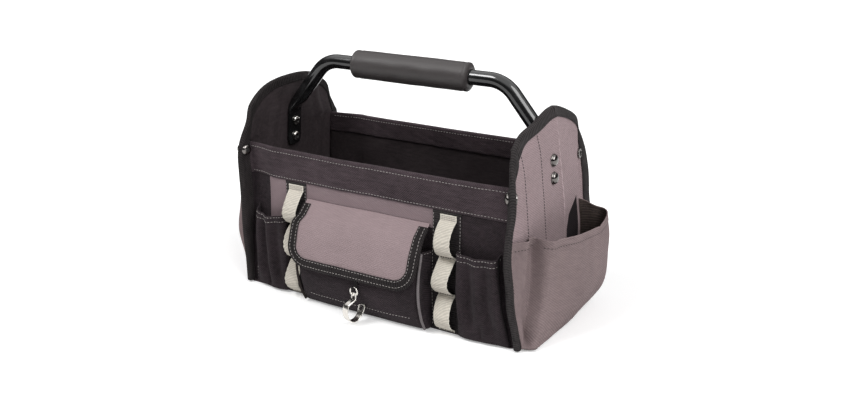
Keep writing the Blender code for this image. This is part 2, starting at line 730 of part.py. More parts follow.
def add_handle(layers):
    """Bent tube with its feet pressed flat against the ends, and its foam grip."""
    lean = math.pi / 4 - HANDLE_SLOPE / 2
    flat_length = LEG_BEND_HEIGHT - LEG_FOOT_HEIGHT - LOWER_BEND_RADIUS * math.tan(lean)
    bm = bmesh.new()
    rings = []
    for here, run, from_end in handle_stations():
        share = smooth((from_end - flat_length) / FLAT_BLEND_LENGTH)
        half_wide = blend(LEG_WIDTH / 2, TUBE_RADIUS, share)
        half_thick = blend(LEG_THICKNESS / 2, TUBE_RADIUS, share)
        if from_end == 0:
            half_wide -= LEG_END_ROUND / 2
        squareness = blend(LEG_SQUARENESS, ROUND_SQUARENESS, share)
        across = Vector((run.y, -run.x))
        ring = []
        for angle in spaced(0, 2 * math.pi, TUBE_STEPS)[:-1]:
            spot = here + across * rounded(math.sin(angle), squareness) * half_thick
            wide = rounded(math.cos(angle), squareness) * half_wide
            ring.append(bm.verts.new((spot.x, wide, spot.y)))
        rings.append(ring)
    for first, second in zip(rings, rings[1:]):
        for step in range(TUBE_STEPS):
            after = (step + 1) % TUBE_STEPS
            bm.faces.new((first[step], first[after], second[after], second[step]))
    bm.faces.new(rings[0][::-1])
    bm.faces.new(rings[-1])
    bmesh.ops.recalc_face_normals(bm, faces=bm.faces)
    mesh = bpy.data.meshes.new("handle_tube")
    bm.to_mesh(mesh)
    bm.free()
    tube = finish(bpy.data.objects.new("handle_tube", mesh), "tube_paint")
    half = GRIP_LENGTH / 2
    bore = TUBE_RADIUS + GRIP_CLEARANCE
    edge = [(GRIP_RADIUS - GRIP_EDGE + GRIP_EDGE * math.sin(angle),
             half - GRIP_EDGE + GRIP_EDGE * math.cos(angle)) for angle in spaced(0, math.pi / 2, EDGE_STEPS)]
    far_edge = [(radius, -height) for radius, height in reversed(edge)]
    profile = [(bore, half)] + edge + far_edge + [(bore, -half)]
    turned("handle_grip", profile, facing((0, 0, HANDLE_HEIGHT), (1, 0, 0)), "foam", GRIP_STEPS)
    for hand, side in LEFT_RIGHT:
        for level, rise in zip(("lower", "upper"), BOLT_RISES):
            place = facing(end_place(side, 0, LEG_FOOT_HEIGHT + rise, 0), end_normal(side))
            add_bolt(f"{hand}_{level}", place)
            drill(f"{hand}_{level}_bolt_hole", place, BOLT_RADIUS + HOLE_CLEARANCE,
                  2 * (END_STACK + LEG_THICKNESS), (*layers[hand], tube))


def add_bolt(name, place):
    """Handle bolt, put in from inside, and the dome nut outside."""
    inner = -(END_STACK + GAP + LEG_THICKNESS + GAP)
    end = GAP + BOLT_END
    head = dome(BOLT_HEAD_RADIUS, BOLT_HEAD_HEIGHT - RIVET_RIM, 0)
    profile = [(0, end), (BOLT_RADIUS, end), (BOLT_RADIUS, inner), (BOLT_HEAD_RADIUS, inner)]
    profile += [(radius, inner - RIVET_RIM - height) for radius, height in reversed(head)]
    turned(f"{name}_handle_bolt", profile, place, "bright_steel")
    bore = BOLT_RADIUS + HOLE_CLEARANCE
    cap = dome(NUT_RADIUS, NUT_HEIGHT - NUT_RIM, GAP + NUT_RIM)
    profile = cap + [(NUT_RADIUS, GAP), (bore, GAP), (bore, end + NUT_FLOOR), (0, end + NUT_FLOOR)]
    turned(f"{name}_dome_nut", profile, place, "dark_nickel")


def front_place(x, out, z):
    """Point a distance in front of the front wall."""
    return Vector((x, -(BODY_DEPTH / 2 + out), z))


def add_strips():
    """Light loop strips on black backing tapes."""
    backing = GAP + TAPE / 2
    flat = GAP + TAPE + GAP + TAPE / 2
    pitch = (STRIP_TOP - SEWN_TOP - STRIP_FOOT) / LOOP_COUNT
    route = [(flat, STRIP_TOP), (flat, STRIP_TOP - SEWN_TOP)]
    for loop in range(LOOP_COUNT):
        top = STRIP_TOP - SEWN_TOP - loop * pitch
        low = top - pitch + SEWN_BETWEEN
        for share in LOOP_SHARES:
            swell = math.sin(math.pi * share ** LOOP_SKEW) ** LOOP_FULLNESS
            route.append((flat + LOOP_BULGE * swell, blend(top, low, share)))
        route += [(flat, low), (flat, top - pitch)]
    for hand, side in LEFT_RIGHT:
        def strip_place(i, j):
            out, z = route[j]
            return front_place(side * STRIP_CENTRE + blend(-STRIP_WIDTH, STRIP_WIDTH, i) / 2, out, z)

        cloth(f"{hand}_loop_strip", 1, len(route) - 1, strip_place, TAPE, "webbing_light")
        top = STRIP_TOP + GAP

        def backing_place(i, j):
            x = side * STRIP_CENTRE + blend(-BACKING_WIDTH, BACKING_WIDTH, i) / 2
            return front_place(x, backing, blend(FLOOR_TOP, top, j))

        cloth(f"{hand}_loop_backing", 1, 1, backing_place, TAPE, "webbing_black")


def bow(share, half, depth, squareness):
    """Place (across, out) on a pocket's bulged mouth line, for a share from -1 to 1."""
    angle = share * math.pi / 2
    across = math.copysign(abs(math.sin(angle)) ** (2 / squareness), share) * half
    return across, max(math.cos(angle), 0) ** (2 / squareness) * depth


def pocket_rows(height, shares, foot):
    """Rows (depth share, z) of a pocket, from its foot to its mouth."""
    return [(depth, max(foot, share * height)) for share, depth in shares]


def add_pocket(name, columns, rows, half, depth, squareness, place, look):
    """Bulged open pocket with a floor, on a surface given by place(across, out, z)."""
    floor_z = rows[0][1]
    inset = POCKET_FLOOR_INSET

    def at(i, j):
        share = blend(-1, 1, i / columns)
        if j == 0:
            across, _ = bow(share, half - inset, depth, squareness)
            return place(across, GAP + FABRIC / 2, floor_z + POCKET_FLOOR_LIFT)
        depth_share, z = rows[j - 1]
        across, out = bow(share, half, depth * depth_share, squareness)
        return place(across, GAP + out, z)

    return cloth(name, columns, len(rows), at, FABRIC, look)


def pocket_depth(z):
    """Depth of the flap pocket's front, measured to the middle of its fabric."""
    return POCKET_DEPTH * along(POCKET_DEPTH_SHARES, z / POCKET_HEIGHT)


def pocket_level(k):
    """Height of level k of the flap pocket, which its patches and its flap share."""
    return max(POCKET_FOOT, POCKET_HEIGHT * k / POCKET_LEVELS)


def flap_route():
    """Points (out, z) down the middle of the flap, from its hinge line to its lower edge."""
    hinge = (HINGE_OUT, FLAP_HINGE_HEIGHT)
    standoff = FABRIC + 2 * PATCH + 3 * GAP
    mouth = (GAP + pocket_depth(POCKET_HEIGHT) + standoff, POCKET_HEIGHT)
    route = []
    for share in spaced(0, 1, FLAP_SHOULDER_STEPS)[:-1]:
        route.append((blend(hinge[0], mouth[0], share),
                      blend(hinge[1], mouth[1], share ** FLAP_SHOULDER_SKEW)))
    for k in range(POCKET_LEVELS, FLAP_BOTTOM_LEVEL - 1, -1):
        z = pocket_level(k)
        route.append((GAP + pocket_depth(z) + standoff, z))
    return route


def flap_frames():
    """Flap route with the direction out of its face and the length still to go to its lower edge."""
    route = [Vector(point) for point in flap_route()]
    frames = []
    left = [0]
    for before, after in zip(route[::-1], route[::-1][1:]):
        left.append(left[-1] + (after - before).length)
    left.reverse()
    for k, here in enumerate(route):
        run = (route[min(k + 1, len(route) - 1)] - route[max(k - 1, 0)]).normalized()
        frames.append((here, Vector((-run.y, run.x)), left[k]))
    return frames


def flap_half(to_go):
    """Half width of the flap, a length above its lower edge."""
    if to_go >= FLAP_CORNER:
        return FLAP_HALF
    drop = FLAP_CORNER - to_go
    return FLAP_HALF - FLAP_CORNER + math.sqrt(FLAP_CORNER ** 2 - drop ** 2)


def flap_spot(x, to_go, lift):
    """Point of the flap at x, a length above its lower edge, lifted off the middle of its fabric."""
    frames = flap_frames()
    for (here, out, left), (after, after_out, after_left) in zip(frames, frames[1:]):
        if to_go >= after_left:
            break
    share = (left - to_go) / (left - after_left)
    spot = here.lerp(after, share) + out.lerp(after_out, share).normalized() * lift
    hanging = smooth((frames[0][2] - to_go) / FLAP_CORNER)
    spot.x -= FLAP_EDGE_DROP * hanging * abs(x / FLAP_HALF) ** FLAP_DROOP_POWER
    return front_place(FLAP_CENTRE + x, spot.x, spot.y)


def add_flap_pocket():
    """Bellows pocket, its piping, the hinged flap with its border, and the closure patches."""
    heights = [pocket_level(k) for k in range(POCKET_LEVELS + 1)]
    rows = [(pocket_depth(z) / POCKET_DEPTH, z) for z in heights]
    add_pocket("flap_pocket", POCKET_COLUMNS, rows, POCKET_HALF, POCKET_DEPTH, POCKET_SQUARENESS,
               lambda across, out, z: front_place(POCKET_CENTRE + across, out, z), "black_fabric")
    clear = FABRIC / 2 + GAP + PIPING_RADIUS
    for hand, side in LEFT_RIGHT:
        points = []
        for depth_share, z in rows:
            before, here, after = (Vector(bow(side * share, POCKET_HALF, POCKET_DEPTH * depth_share,
                                              POCKET_SQUARENESS)) for share in PIPING_SHARES)
            run = (after - before).normalized()
            spot = here + Vector((-run.y, run.x)) * side * clear
            points.append(front_place(POCKET_CENTRE + spot.x, GAP + spot.y, z))
        wire(f"{hand}_pocket_piping", points, PIPING_RADIUS, "grey_twill")

    frames = flap_frames()
    hinge = front_place(0, HINGE_OUT, FLAP_HINGE_HEIGHT)

    def flap_place(i, j):
        to_go = frames[j][2]
        half = flap_half(to_go)
        return flap_spot(blend(-half, half, i / FLAP_COLUMNS), to_go, 0)

    cloth("pocket_flap", FLAP_COLUMNS, len(frames) - 1, flap_place, FABRIC, "grey_twill", pivot=hinge)
    add_flap_border(frames, hinge)
    outer = GAP + FABRIC / 2 + GAP + PATCH / 2

    patch_rows = PATCH_LEVELS[1] - PATCH_LEVELS[0]

    def loop_place(i, j):
        z = pocket_level(PATCH_LEVELS[0] + j)
        return front_place(blend(-PATCH_HALF, PATCH_HALF, i / 2), pocket_depth(z) + outer, z)

    def hook_place(i, j):
        z = pocket_level(PATCH_LEVELS[0] + j)
        return front_place(blend(-PATCH_HALF, PATCH_HALF, i / 2), pocket_depth(z) + outer + PATCH + GAP, z)

    cloth("pocket_loop_patch", 2, patch_rows, loop_place, PATCH, "webbing_black")
    cloth("flap_hook_patch", 2, patch_rows, hook_place, PATCH, "webbing_black", pivot=hinge)


def add_flap_border(frames, hinge):
    """Black tape on the flap's face along its sides and round its lower corners."""
    lift = FABRIC / 2 + BORDER_GAP + TAPE / 2
    side_runs = [left for here, out, left in frames[1:] if left > FLAP_CORNER * FLAP_BORDER_START]
    path = [((-FLAP_HALF, left), (1, 0)) for left in side_runs]
    middle = FLAP_HALF - FLAP_CORNER
    for angle in spaced(0, math.pi / 2, FLAP_CORNER_STEPS):
        inward = (math.cos(angle), math.sin(angle))
        path.append(((-middle - FLAP_CORNER * inward[0], FLAP_CORNER * (1 - inward[1])), inward))
    path += [((x, 0), (0, 1)) for x in spaced(-middle, 0, FLAP_COLUMNS // 2)[1:]]
    path += [((-x, length), (-across, up)) for (x, length), (across, up) in path[-2::-1]]

    def place(i, j):
        (x, length), (across, up) = path[i]
        width = FLAP_BORDER_WIDTH * j / 2
        return flap_spot(x + across * width, length + up * width, lift)

    cloth("flap_border", len(path) - 1, 2, place, TAPE, "webbing_black", pivot=hinge)


def add_side_pockets():
    """Black pockets at the front corners and grey ones on the ends."""
    for hand, side in LEFT_RIGHT:
        add_pocket(f"{hand}_corner_pocket", CORNER_COLUMNS,
                   pocket_rows(CORNER_HEIGHT, CORNER_DEPTH_SHARES, POCKET_FOOT),
                   CORNER_HALF, CORNER_DEPTH, CORNER_SQUARENESS,
                   lambda across, out, z: front_place(side * CORNER_CENTRE + across, out, z),
                   "black_fabric")
        add_pocket(f"{hand}_side_pocket", SIDE_COLUMNS,
                   pocket_rows(SIDE_HEIGHT, SIDE_DEPTH_SHARES, POCKET_FOOT),
                   SIDE_HALF, SIDE_DEPTH, SIDE_SQUARENESS,
                   lambda across, out, z: end_place(side, across, z, -out), "grey_twill")


def add_tool_strip():
    """Looped strip inside the front wall that keeps hand tools upright."""
    inside = BODY_DEPTH / 2 - WALL_STACK - GAP - TAPE / 2
    pitch = 2 * TOOL_STRIP_HALF / TOOL_LOOP_COUNT
    route = []
    for loop in range(TOOL_LOOP_COUNT):
        start = -TOOL_STRIP_HALF + loop * pitch
        route.append((start, 0))
        route.append((start + TOOL_SEWN, 0))
        for share in TOOL_LOOP_SHARES:
            swell = math.sin(math.pi * share) ** TOOL_LOOP_FULLNESS
            route.append((blend(start + TOOL_SEWN, start + pitch, share), TOOL_LOOP_BULGE * swell))
    route += [(TOOL_STRIP_HALF, 0), (TOOL_STRIP_HALF + TOOL_SEWN, 0)]

    def place(i, j):
        x, bulge = route[i]
        return Vector((x, -inside + bulge, blend(TOOL_STRIP_LOW, TOOL_STRIP_HIGH, j)))

    cloth("inner_tool_strip", len(route) - 1, 1, place, TAPE, "webbing_black")


def add_tape_hook():
    """Bent steel hook, hung on a ring in a tab that is sewn under the flap."""
    face = GAP + pocket_depth(RING_HEIGHT) + FABRIC / 2
    out = face + HOOK_STANDOFF + HOOK_WIDTH / 2
    ring = []
    for angle in spaced(0, 2 * math.pi, RING_STEPS)[:-1]:
        ring.append(front_place(RING_RADIUS * math.cos(angle), out,
                                RING_HEIGHT + RING_RADIUS * math.sin(angle)))
    wire("hook_ring", ring, RING_WIRE, "bright_steel", cyclic=True)

    top = RING_HEIGHT + RING_RADIUS
    sewn = GAP + FABRIC / 2 + GAP + TAPE / 2
    flap_end = pocket_level(FLAP_BOTTOM_LEVEL)
    tab = [(sewn + pocket_depth(z), z) for z in (flap_end + TAB_SEWN, flap_end)]
    for angle in spaced(0, TAB_WRAP, TAB_STEPS):
        tab.append((out - TAB_LOOP_RADIUS * math.cos(angle), top - TAB_LOOP_RADIUS * math.sin(angle)))
    cloth("hook_tab", 1, len(tab) - 1,
          lambda i, j: front_place(blend(-TAB_WIDTH, TAB_WIDTH, i) / 2, *tab[j]), TAPE, "webbing_black")

    axis = RING_HEIGHT - RING_RADIUS
    bar_low = RING_WIRE + GAP
    route = [(0, bar_low + HOOK_BAR), (0, bar_low), (0, bar_low - HOOK_WINDOW)]
    for angle in spaced(HOOK_BOW_START, HOOK_BOW_START + HOOK_BOW_TURN, HOOK_STEPS):
        route.append((HOOK_BOW_OFFSET + HOOK_BOW_RADIUS * math.cos(angle),
                      HOOK_BOW_RADIUS * math.sin(angle) - HOOK_BOW_DEPTH))
    tip = Vector(route[-1]) - Vector(route[-2])
    tip.normalize()
    window_end = Vector(route[-1]) + tip * HOOK_TIP_WINDOW
    route.append(tuple(window_end))
    route.append(tuple(window_end + tip * HOOK_TIP_BAR))
    widths = (-HOOK_WIDTH / 2, -HOOK_WIDTH / 2 + HOOK_WINDOW_SIDE, HOOK_WIDTH / 2 - HOOK_WINDOW_SIDE,
              HOOK_WIDTH / 2)

    def place(i, j):
        x, z = route[j]
        return front_place(x, out + widths[i], axis + z)

    cloth("tape_hook", 3, len(route) - 1, place, HOOK_STEEL, "bright_steel",
          skip=((1, 1), (1, len(route) - 3)), pivot=front_place(0, out, axis))


def build():
    """Clear the scene and model the bag."""
    for obj in list(bpy.data.objects):
        bpy.data.objects.remove(obj, do_unlink=True)
    add_base()
    walls = add_walls()
    layers = add_ends(walls)
    add_handle(layers)
    add_strips()
    add_flap_pocket()
    add_side_pockets()
    add_tool_strip()
    add_tape_hook()


build()
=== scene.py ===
"""Looks of the open-top tool bag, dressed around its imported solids.

Lengths are in metres, in the frame of the solids: the origin is the middle of the underside, X runs
along the bag, Y from its front to its rear and Z up. Each fabric piece is a finely divided sheet on
the surface of its solid, and one slow warp that all layers share lets the bag sag.
"""
import functools
import math

import bpy
import numpy as np
from mathutils import Matrix, Vector, noise


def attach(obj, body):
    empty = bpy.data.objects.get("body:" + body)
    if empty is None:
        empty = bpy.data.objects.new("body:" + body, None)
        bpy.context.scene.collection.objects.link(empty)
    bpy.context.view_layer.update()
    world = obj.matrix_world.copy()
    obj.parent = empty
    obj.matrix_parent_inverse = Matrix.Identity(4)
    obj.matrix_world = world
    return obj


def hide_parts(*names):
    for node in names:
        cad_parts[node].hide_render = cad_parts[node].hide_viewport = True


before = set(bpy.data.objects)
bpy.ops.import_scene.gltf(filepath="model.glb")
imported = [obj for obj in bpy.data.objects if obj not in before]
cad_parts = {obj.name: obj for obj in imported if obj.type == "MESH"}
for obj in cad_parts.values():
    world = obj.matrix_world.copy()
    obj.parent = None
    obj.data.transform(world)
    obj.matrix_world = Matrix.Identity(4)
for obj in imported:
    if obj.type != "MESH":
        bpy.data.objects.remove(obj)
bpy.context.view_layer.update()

# Body of the bag, as in the solids
BASE_LENGTH = 0.430
SHOULDER_LENGTH = 0.427
TOP_LENGTH = 0.410
FLARE_SLOPE = 0.09
BODY_DEPTH = 0.215
WALL_HEIGHT = 0.210
SHOULDER_HEIGHT = 0.170
END_HEIGHT = 0.288
ARCH_POWER = 2.2
ARCH_CORNER_SHARE = 0.25
FIN_BASE = 0.008
FIN_WIDTH = 0.0205
WALL_BEND = 0.004
GAP = 0.0003
FABRIC = 0.0015
LINING = 0.0012
END_BOARD = 0.0015
TAPE = 0.0012
BASE_FABRIC = 0.002
BASE_CORNER = 0.010
END_BOARD_INSET = 0.009
END_BOARD_TOP_INSET = 0.014
FIN_SETBACK = 0.0008
BAND_HEIGHT = 0.043
BAND_INSIDE = 0.030
BINDING_WIDTH = 0.011

# Handle
TUBE_RADIUS = 0.010
LEG_FOOT_HEIGHT = 0.183
LEG_BEND_HEIGHT = 0.2405
HANDLE_HEIGHT = 0.3135
HANDLE_SLOPE = math.radians(50)
LOWER_BEND_RADIUS = 0.030
UPPER_BEND_RADIUS = 0.045
LEG_WIDTH = 0.028
LEG_THICKNESS = 0.005
FLAT_BLEND_LENGTH = 0.034
LEG_END_ROUND = 0.011
LEG_SQUARENESS = 5.0
LEG_SHARES = (0, 0.02, 0.06, 0.11, 0.17, 0.24, 0.32, 0.42, 0.54, 0.66, 0.78, 0.9)
GRIP_LENGTH = 0.181
GRIP_RADIUS = 0.0197
GRIP_LIP = 0.0125
GRIP_BORE = TUBE_RADIUS + 0.0004
BOLT_HEIGHTS = (0.196, 0.2195)
BOLT_RADIUS = 0.0025
BOLT_HEAD_RADIUS = 0.0066
BOLT_HEAD_HEIGHT = 0.0035
NUT_RADIUS = 0.0085
NUT_HEIGHT = 0.0062
RIVET_HEIGHT = 0.2005
RIVET_EDGE = 0.0100
# How far each rivet sits from the edge of its fin, and its height
RIVET_SPOTS = {("left", "front"): (0.0050, 0.2010), ("left", "rear"): (0.0100, 0.2005),
               ("right", "front"): (0.0100, 0.2000), ("right", "rear"): (0.0180, 0.2040)}
RIVET_HEAD_RADIUS = 0.0072
RIVET_HEAD_HEIGHT = 0.0042
RIVET_RING_RADIUS = 0.0070
RIVET_RING_HEIGHT = 0.0022
RIVET_DIMPLE_RADIUS = 0.0034

# Front of the bag
STRIP_CENTRE = 0.1185
STRIP_WIDTH = 0.024
STRIP_TOP = 0.163
STRIP_FOOT = 0.0035
LOOP_COUNT = 3
LOOP_BULGE = 0.0195
LOOP_FULLNESS = (0.97, 1.0, 0.93)
SEWN_TOP = 0.008
SEWN_BETWEEN = 0.003
BACKING_EDGES = ((-0.1365, -0.1030), (0.0950, 0.1365))
POCKET_CENTRE = -0.004
POCKET_HALF = 0.0985
POCKET_HEIGHT = 0.112
POCKET_DEPTH = 0.034
POCKET_FOOT = 0.004
POCKET_SQUARENESS = 7.0
POCKET_DEPTH_SHARES = ((0.0, 0.34), (0.06, 0.46), (0.18, 0.72), (0.38, 0.95), (0.55, 1.0),
                       (0.75, 0.93), (0.90, 0.79), (1.0, 0.68))
POCKET_FLOOR_INSET = 0.007
PIPING_RADIUS = 0.0018
PIPING_SHARES = (0.5, 0.667, 0.833)
FLAP_CENTRE = -0.009
FLAP_HALF = 0.0995
FLAP_HINGE_HEIGHT = 0.146
FLAP_SHOULDER_SKEW = 1.8
FLAP_START = 0.72
FLAP_TAPER = 0.0072
FLAP_TAPER_REACH = 0.036
FLAP_TAPER_RUN = 0.014
FLAP_HINGE_REACH = 0.012
FLAP_DROOP_POWER = 3
FLAP_END = 0.064
TAB_FOOT = 0.058
FLAP_CORNER = 0.030
FLAP_EDGE_DROP = 0.0012
FLAP_BORDER_WIDTH = 0.012
PATCH = 0.001
PATCH_HALF = 0.035
PATCH_SPAN = (0.070, 0.098)
# The front wall is black beyond these places. Below a height and beyond another place, it takes darker black
# as painted shade beside the flap pocket.
BLACK_SIDES = (-0.171, 0.130)
SHADED_FOOT_TOP = 0.142
SHADED_FOOT_START = 0.075
CORNER_CENTRE = 0.169
CORNER_HALF = 0.0325
CORNER_HEIGHT = 0.110
CORNER_DEPTH = 0.016
CORNER_SQUARENESS = 3.2
CORNER_DEPTH_SHARES = ((0.0, 0.55), (0.25, 0.8), (0.6, 0.85), (1.0, 1.0))
# How much higher the mouth of a corner pocket lies at its left, middle and right
CORNER_RIMS = {"left": (0.0135, 0.0050, 0.0120), "right": (0.0105, 0.0100, 0.0170)}

# Ends and inside
SIDE_HEIGHT = 0.136
# Outline of a side pocket seen from above, from the front to the rear: places (across, out)
SIDE_MOUTH = ((-0.1140, 0.0), (-0.1040, 0.004), (-0.0880, 0.011), (-0.0680, 0.026), (-0.0400, 0.0395),
              (0.0, 0.0460), (0.0450, 0.0480), (0.0750, 0.0460), (0.0900, 0.0350), (0.0900, 0.0170),
              (0.0880, 0.0))
SIDE_FOOT = ((-0.1120, 0.0), (-0.1075, 0.013), (-0.0980, 0.0225), (-0.0750, 0.0255), (-0.0400, 0.0260),
             (0.0, 0.0260), (0.0450, 0.0250), (0.0700, 0.0220), (0.0850, 0.0150), (0.0930, 0.0070),
             (0.0960, 0.0))
SIDE_FILL = ((0.0, 0.0), (0.12, 0.45), (0.26, 0.88), (0.45, 1.05), (0.75, 1.06), (1.0, 1.0))
# What the left side pocket gains in front, and loses at its foot there
LEFT_SWELL = 0.0090
LEFT_SLIM = 0.0125
TOOL_STRIP_LOW = 0.118
TOOL_STRIP_HIGH = 0.156
TOOL_STRIP_HALF = 0.168
TOOL_LOOP_COUNT = 6
TOOL_LOOP_BULGE = 0.018
TOOL_SEWN = 0.004

# Tape hook
RING_HEIGHT = 0.0465
RING_RADIUS = 0.0055
RING_WIRE = 0.00125
HOOK_WIDTH = 0.010
HOOK_STEEL = 0.0015
HOOK_STANDOFF = 0.0010
HOOK_BAR = 0.0025
HOOK_WINDOW_SIDE = 0.002
HOOK_WINDOW = 0.0065
HOOK_TIP_BAR = 0.0022
HOOK_TIP_WINDOW = 0.0078
HOOK_BOW_RADIUS = 0.0135
HOOK_BOW_DEPTH = 0.0195
HOOK_BOW_OFFSET = 0.00025
HOOK_BOW_START = math.radians(150)
HOOK_BOW_TURN = math.radians(196)
HOOK_YAW = math.radians(74)
HOOK_LEAN = math.radians(8)
TAB_WIDTH = 0.005
TAB_SEWN = 0.010
TAB_LOOP_RADIUS = 0.0031
TAB_WRAP = math.radians(215)

# Stitches
STITCH_PITCH = 0.0046
STITCH_LENGTH = 0.0031
THREAD_RADIUS = 0.00042
THREAD_SIDES = 6
# Along a stitch: share of its length, width and rise
THREAD_FORM = ((0.0, 0.35, -0.3), (0.16, 0.9, 0.15), (0.5, 1.0, 0.45), (0.84, 0.9, 0.15), (1.0, 0.35, -0.3))
# Straight seams over an end, from (y, z) to (y, z)
END_SEAMS = (((-0.0255, 0.116), (-0.040, 0.272)), ((-0.077, 0.125), (-0.084, 0.247)))

LEFT_RIGHT = (("left", -1), ("right", 1))
FRONT_REAR = (("front", -1), ("rear", 1))
FORWARD = (0, -1, 0)
FLOOR_TOP = BASE_FABRIC + GAP
END_STACK = FABRIC + GAP + END_BOARD + GAP + LINING
FIN_STACK = FABRIC + GAP + TAPE + GAP + FABRIC + GAP + TAPE
WALL_STACK = FABRIC + GAP + LINING
END_SLOPE = (TOP_LENGTH - SHOULDER_LENGTH) / 2 / (END_HEIGHT - SHOULDER_HEIGHT)
LEG_DEPTH = END_STACK + GAP + LEG_THICKNESS / 2


def blend(start, end, share):
    """Value a share of the way from start to end."""
    return start + (end - start) * share


def within(value, low=0.0, high=1.0):
    """Value held between low and high."""
    return min(max(value, low), high)


def smooth(share):
    """Smooth step of a share, held between 0 and 1."""
    share = within(share)
    return share * share * (3 - 2 * share)


def hump(value, centre, width):
    """Bell of height 1 round centre."""
    return math.exp(-((value - centre) / width) ** 2)


def spaced(start, end, count):
    """Evenly spaced values from start to end, count steps apart."""
    return [blend(start, end, k / count) for k in range(count + 1)]


def turns(sides):
    """Angles of the corners of a ring."""
    return spaced(0, 2 * math.pi, sides)[:-1]


def running(points):
    """Distance along a line of points, at each of them."""
    lengths = [0.0]
    for before, after in zip(points, points[1:]):
        lengths.append(lengths[-1] + math.dist(before, after))
    return lengths


def heading(points, k, cyclic=False):
    """Direction of a line of points at its point k."""
    if cyclic:
        before, after = points[k - 1], points[(k + 1) % len(points)]
    else:
        before, after = points[max(k - 1, 0)], points[min(k + 1, len(points) - 1)]
    return (Vector(after) - Vector(before)).normalized()


def part_way(points, place):
    """Point of a line at a place between its numbered points."""
    k = min(int(place), len(points) - 2)
    return [blend(a, b, place - k) for a, b in zip(points[k], points[k + 1])]


def eased(first, second, first_rise, second_rise, t):
    """Smooth curve from first to second; the rises are its slopes there times its whole width."""
    return ((2 * t ** 3 - 3 * t ** 2 + 1) * first + (3 * t ** 2 - 2 * t ** 3) * second
            + (t ** 3 - 2 * t ** 2 + t) * first_rise + (t ** 3 - t ** 2) * second_rise)


def curve_through(table, share):
    """Smooth curve through a table of (place, value) pairs."""
    last = len(table) - 1
    k = 0
    while k < last - 1 and share > table[k + 1][0]:
        k += 1
    (low, first), (high, second) = table[k], table[k + 1]
    width = high - low

    def rise(j):
        before, after = table[max(j - 1, 0)], table[min(j + 1, last)]
        return width * (after[1] - before[1]) / (after[0] - before[0])

    return eased(first, second, rise(k), rise(k + 1), within((share - low) / width))


def rounded(part, squareness):
    """Sine or cosine of a ring, drawn out towards a square."""
    return math.copysign(abs(part) ** (2 / squareness), part)


def wander(p, size, seed=0.0):
    """Slow random value between about -1 and 1 at a point."""
    return noise.noise(Vector(p) / size + Vector((seed, seed * 1.7, seed * 0.6)))


# Materials

class Value:
    """Output of a node, with sums and products that add Math nodes."""

    def __init__(self, tree, socket):
        self.tree = tree
        self.socket = socket

    def math(self, operation, *others):
        """Result of a Math node on this value and the others."""
        return value_of(self.tree, "Math", 0, enumerate((self, *others)), operation=operation)

    def __add__(self, other):
        return self.math("ADD", other)

    def __sub__(self, other):
        return self.math("SUBTRACT", other)

    def __mul__(self, other):
        return self.math("MULTIPLY", other)

    def wave(self, pitch):
        """Wave between 0 and 1 with that pitch."""
        return (self * (2 * math.pi / pitch)).math("SINE") * 0.5 + 0.5

    def step(self, low, high):
        """0 below low, 1 above high."""
        return value_of(self.tree, "MapRange", "Result", {"Value": self, "From Min": low, "From Max": high},
                        interpolation_type="SMOOTHSTEP")

    def parts(self):
        """X, Y and Z of a vector."""
        return [value_of(self.tree, "SeparateXYZ", axis, {0: self}) for axis in range(3)]


def value_of(tree, kind, output, inputs=(), **settings):
    """Value from a new node of that kind, whose inputs are Values or constants."""
    node = tree.nodes.new("ShaderNode" + kind)
    for name, setting in settings.items():
        setattr(node, name, setting)
    for slot, value in dict(inputs).items():
        if isinstance(value, Value):
            tree.links.new(value.socket, node.inputs[slot])
        else:
            node.inputs[slot].default_value = value
    return Value(tree, node.outputs[output])


class Look:
    """A procedural material under construction."""

    def __init__(self, name, roughness, metallic=0.0, **sockets):
        self.material = bpy.data.materials.new(name)
        self.material.use_nodes = True
        self.tree = self.material.node_tree
        self.shader = self.tree.nodes["Principled BSDF"]
        self.shader.inputs["Roughness"].default_value = roughness
        self.shader.inputs["Metallic"].default_value = metallic
        for socket, value in sockets.items():
            self.shader.inputs[socket.replace("_", " ")].default_value = value

    def place(self, source):
        """Place on the object, or on the cloth: along it, across it and from its edge, in metres."""
        if source == "object":
            return value_of(self.tree, "TexCoord", "Object")
        return value_of(self.tree, "Attribute", "Vector", attribute_name="cloth")

    def noise(self, size, detail=2.0, stretch=(1, 1, 1), source="object"):
        """Noise between 0 and 1 with features of that size, on the object or on the cloth."""
        scaled = value_of(self.tree, "Mapping", 0, {"Vector": self.place(source),
                                                    "Scale": [part / size for part in stretch]})
        return value_of(self.tree, "TexNoise", "Fac", {"Vector": scaled, "Scale": 1.0, "Detail": detail})

    def mix(self, share, *colours):
        """Colour a share of the way from the first to the second."""
        first, second = (colour if isinstance(colour, Value) else (*colour, 1.0) for colour in colours)
        return value_of(self.tree, "Mix", 2, {"Factor": share, 6: first, 7: second}, data_type="RGBA")

    def feed(self, **values):
        """Join values to the shader."""
        for socket, value in values.items():
            self.tree.links.new(value.socket, self.shader.inputs[socket.replace("_", " ")])

    def done(self, colour, height, depth, **values):
        """Join the colour, the bump of that depth in metres and further values to the shader."""
        bump = value_of(self.tree, "Bump", 0, {"Distance": depth, "Strength": 1.0, "Height": height})
        self.feed(Base_Color=colour, Normal=bump, **values)
        return self.material


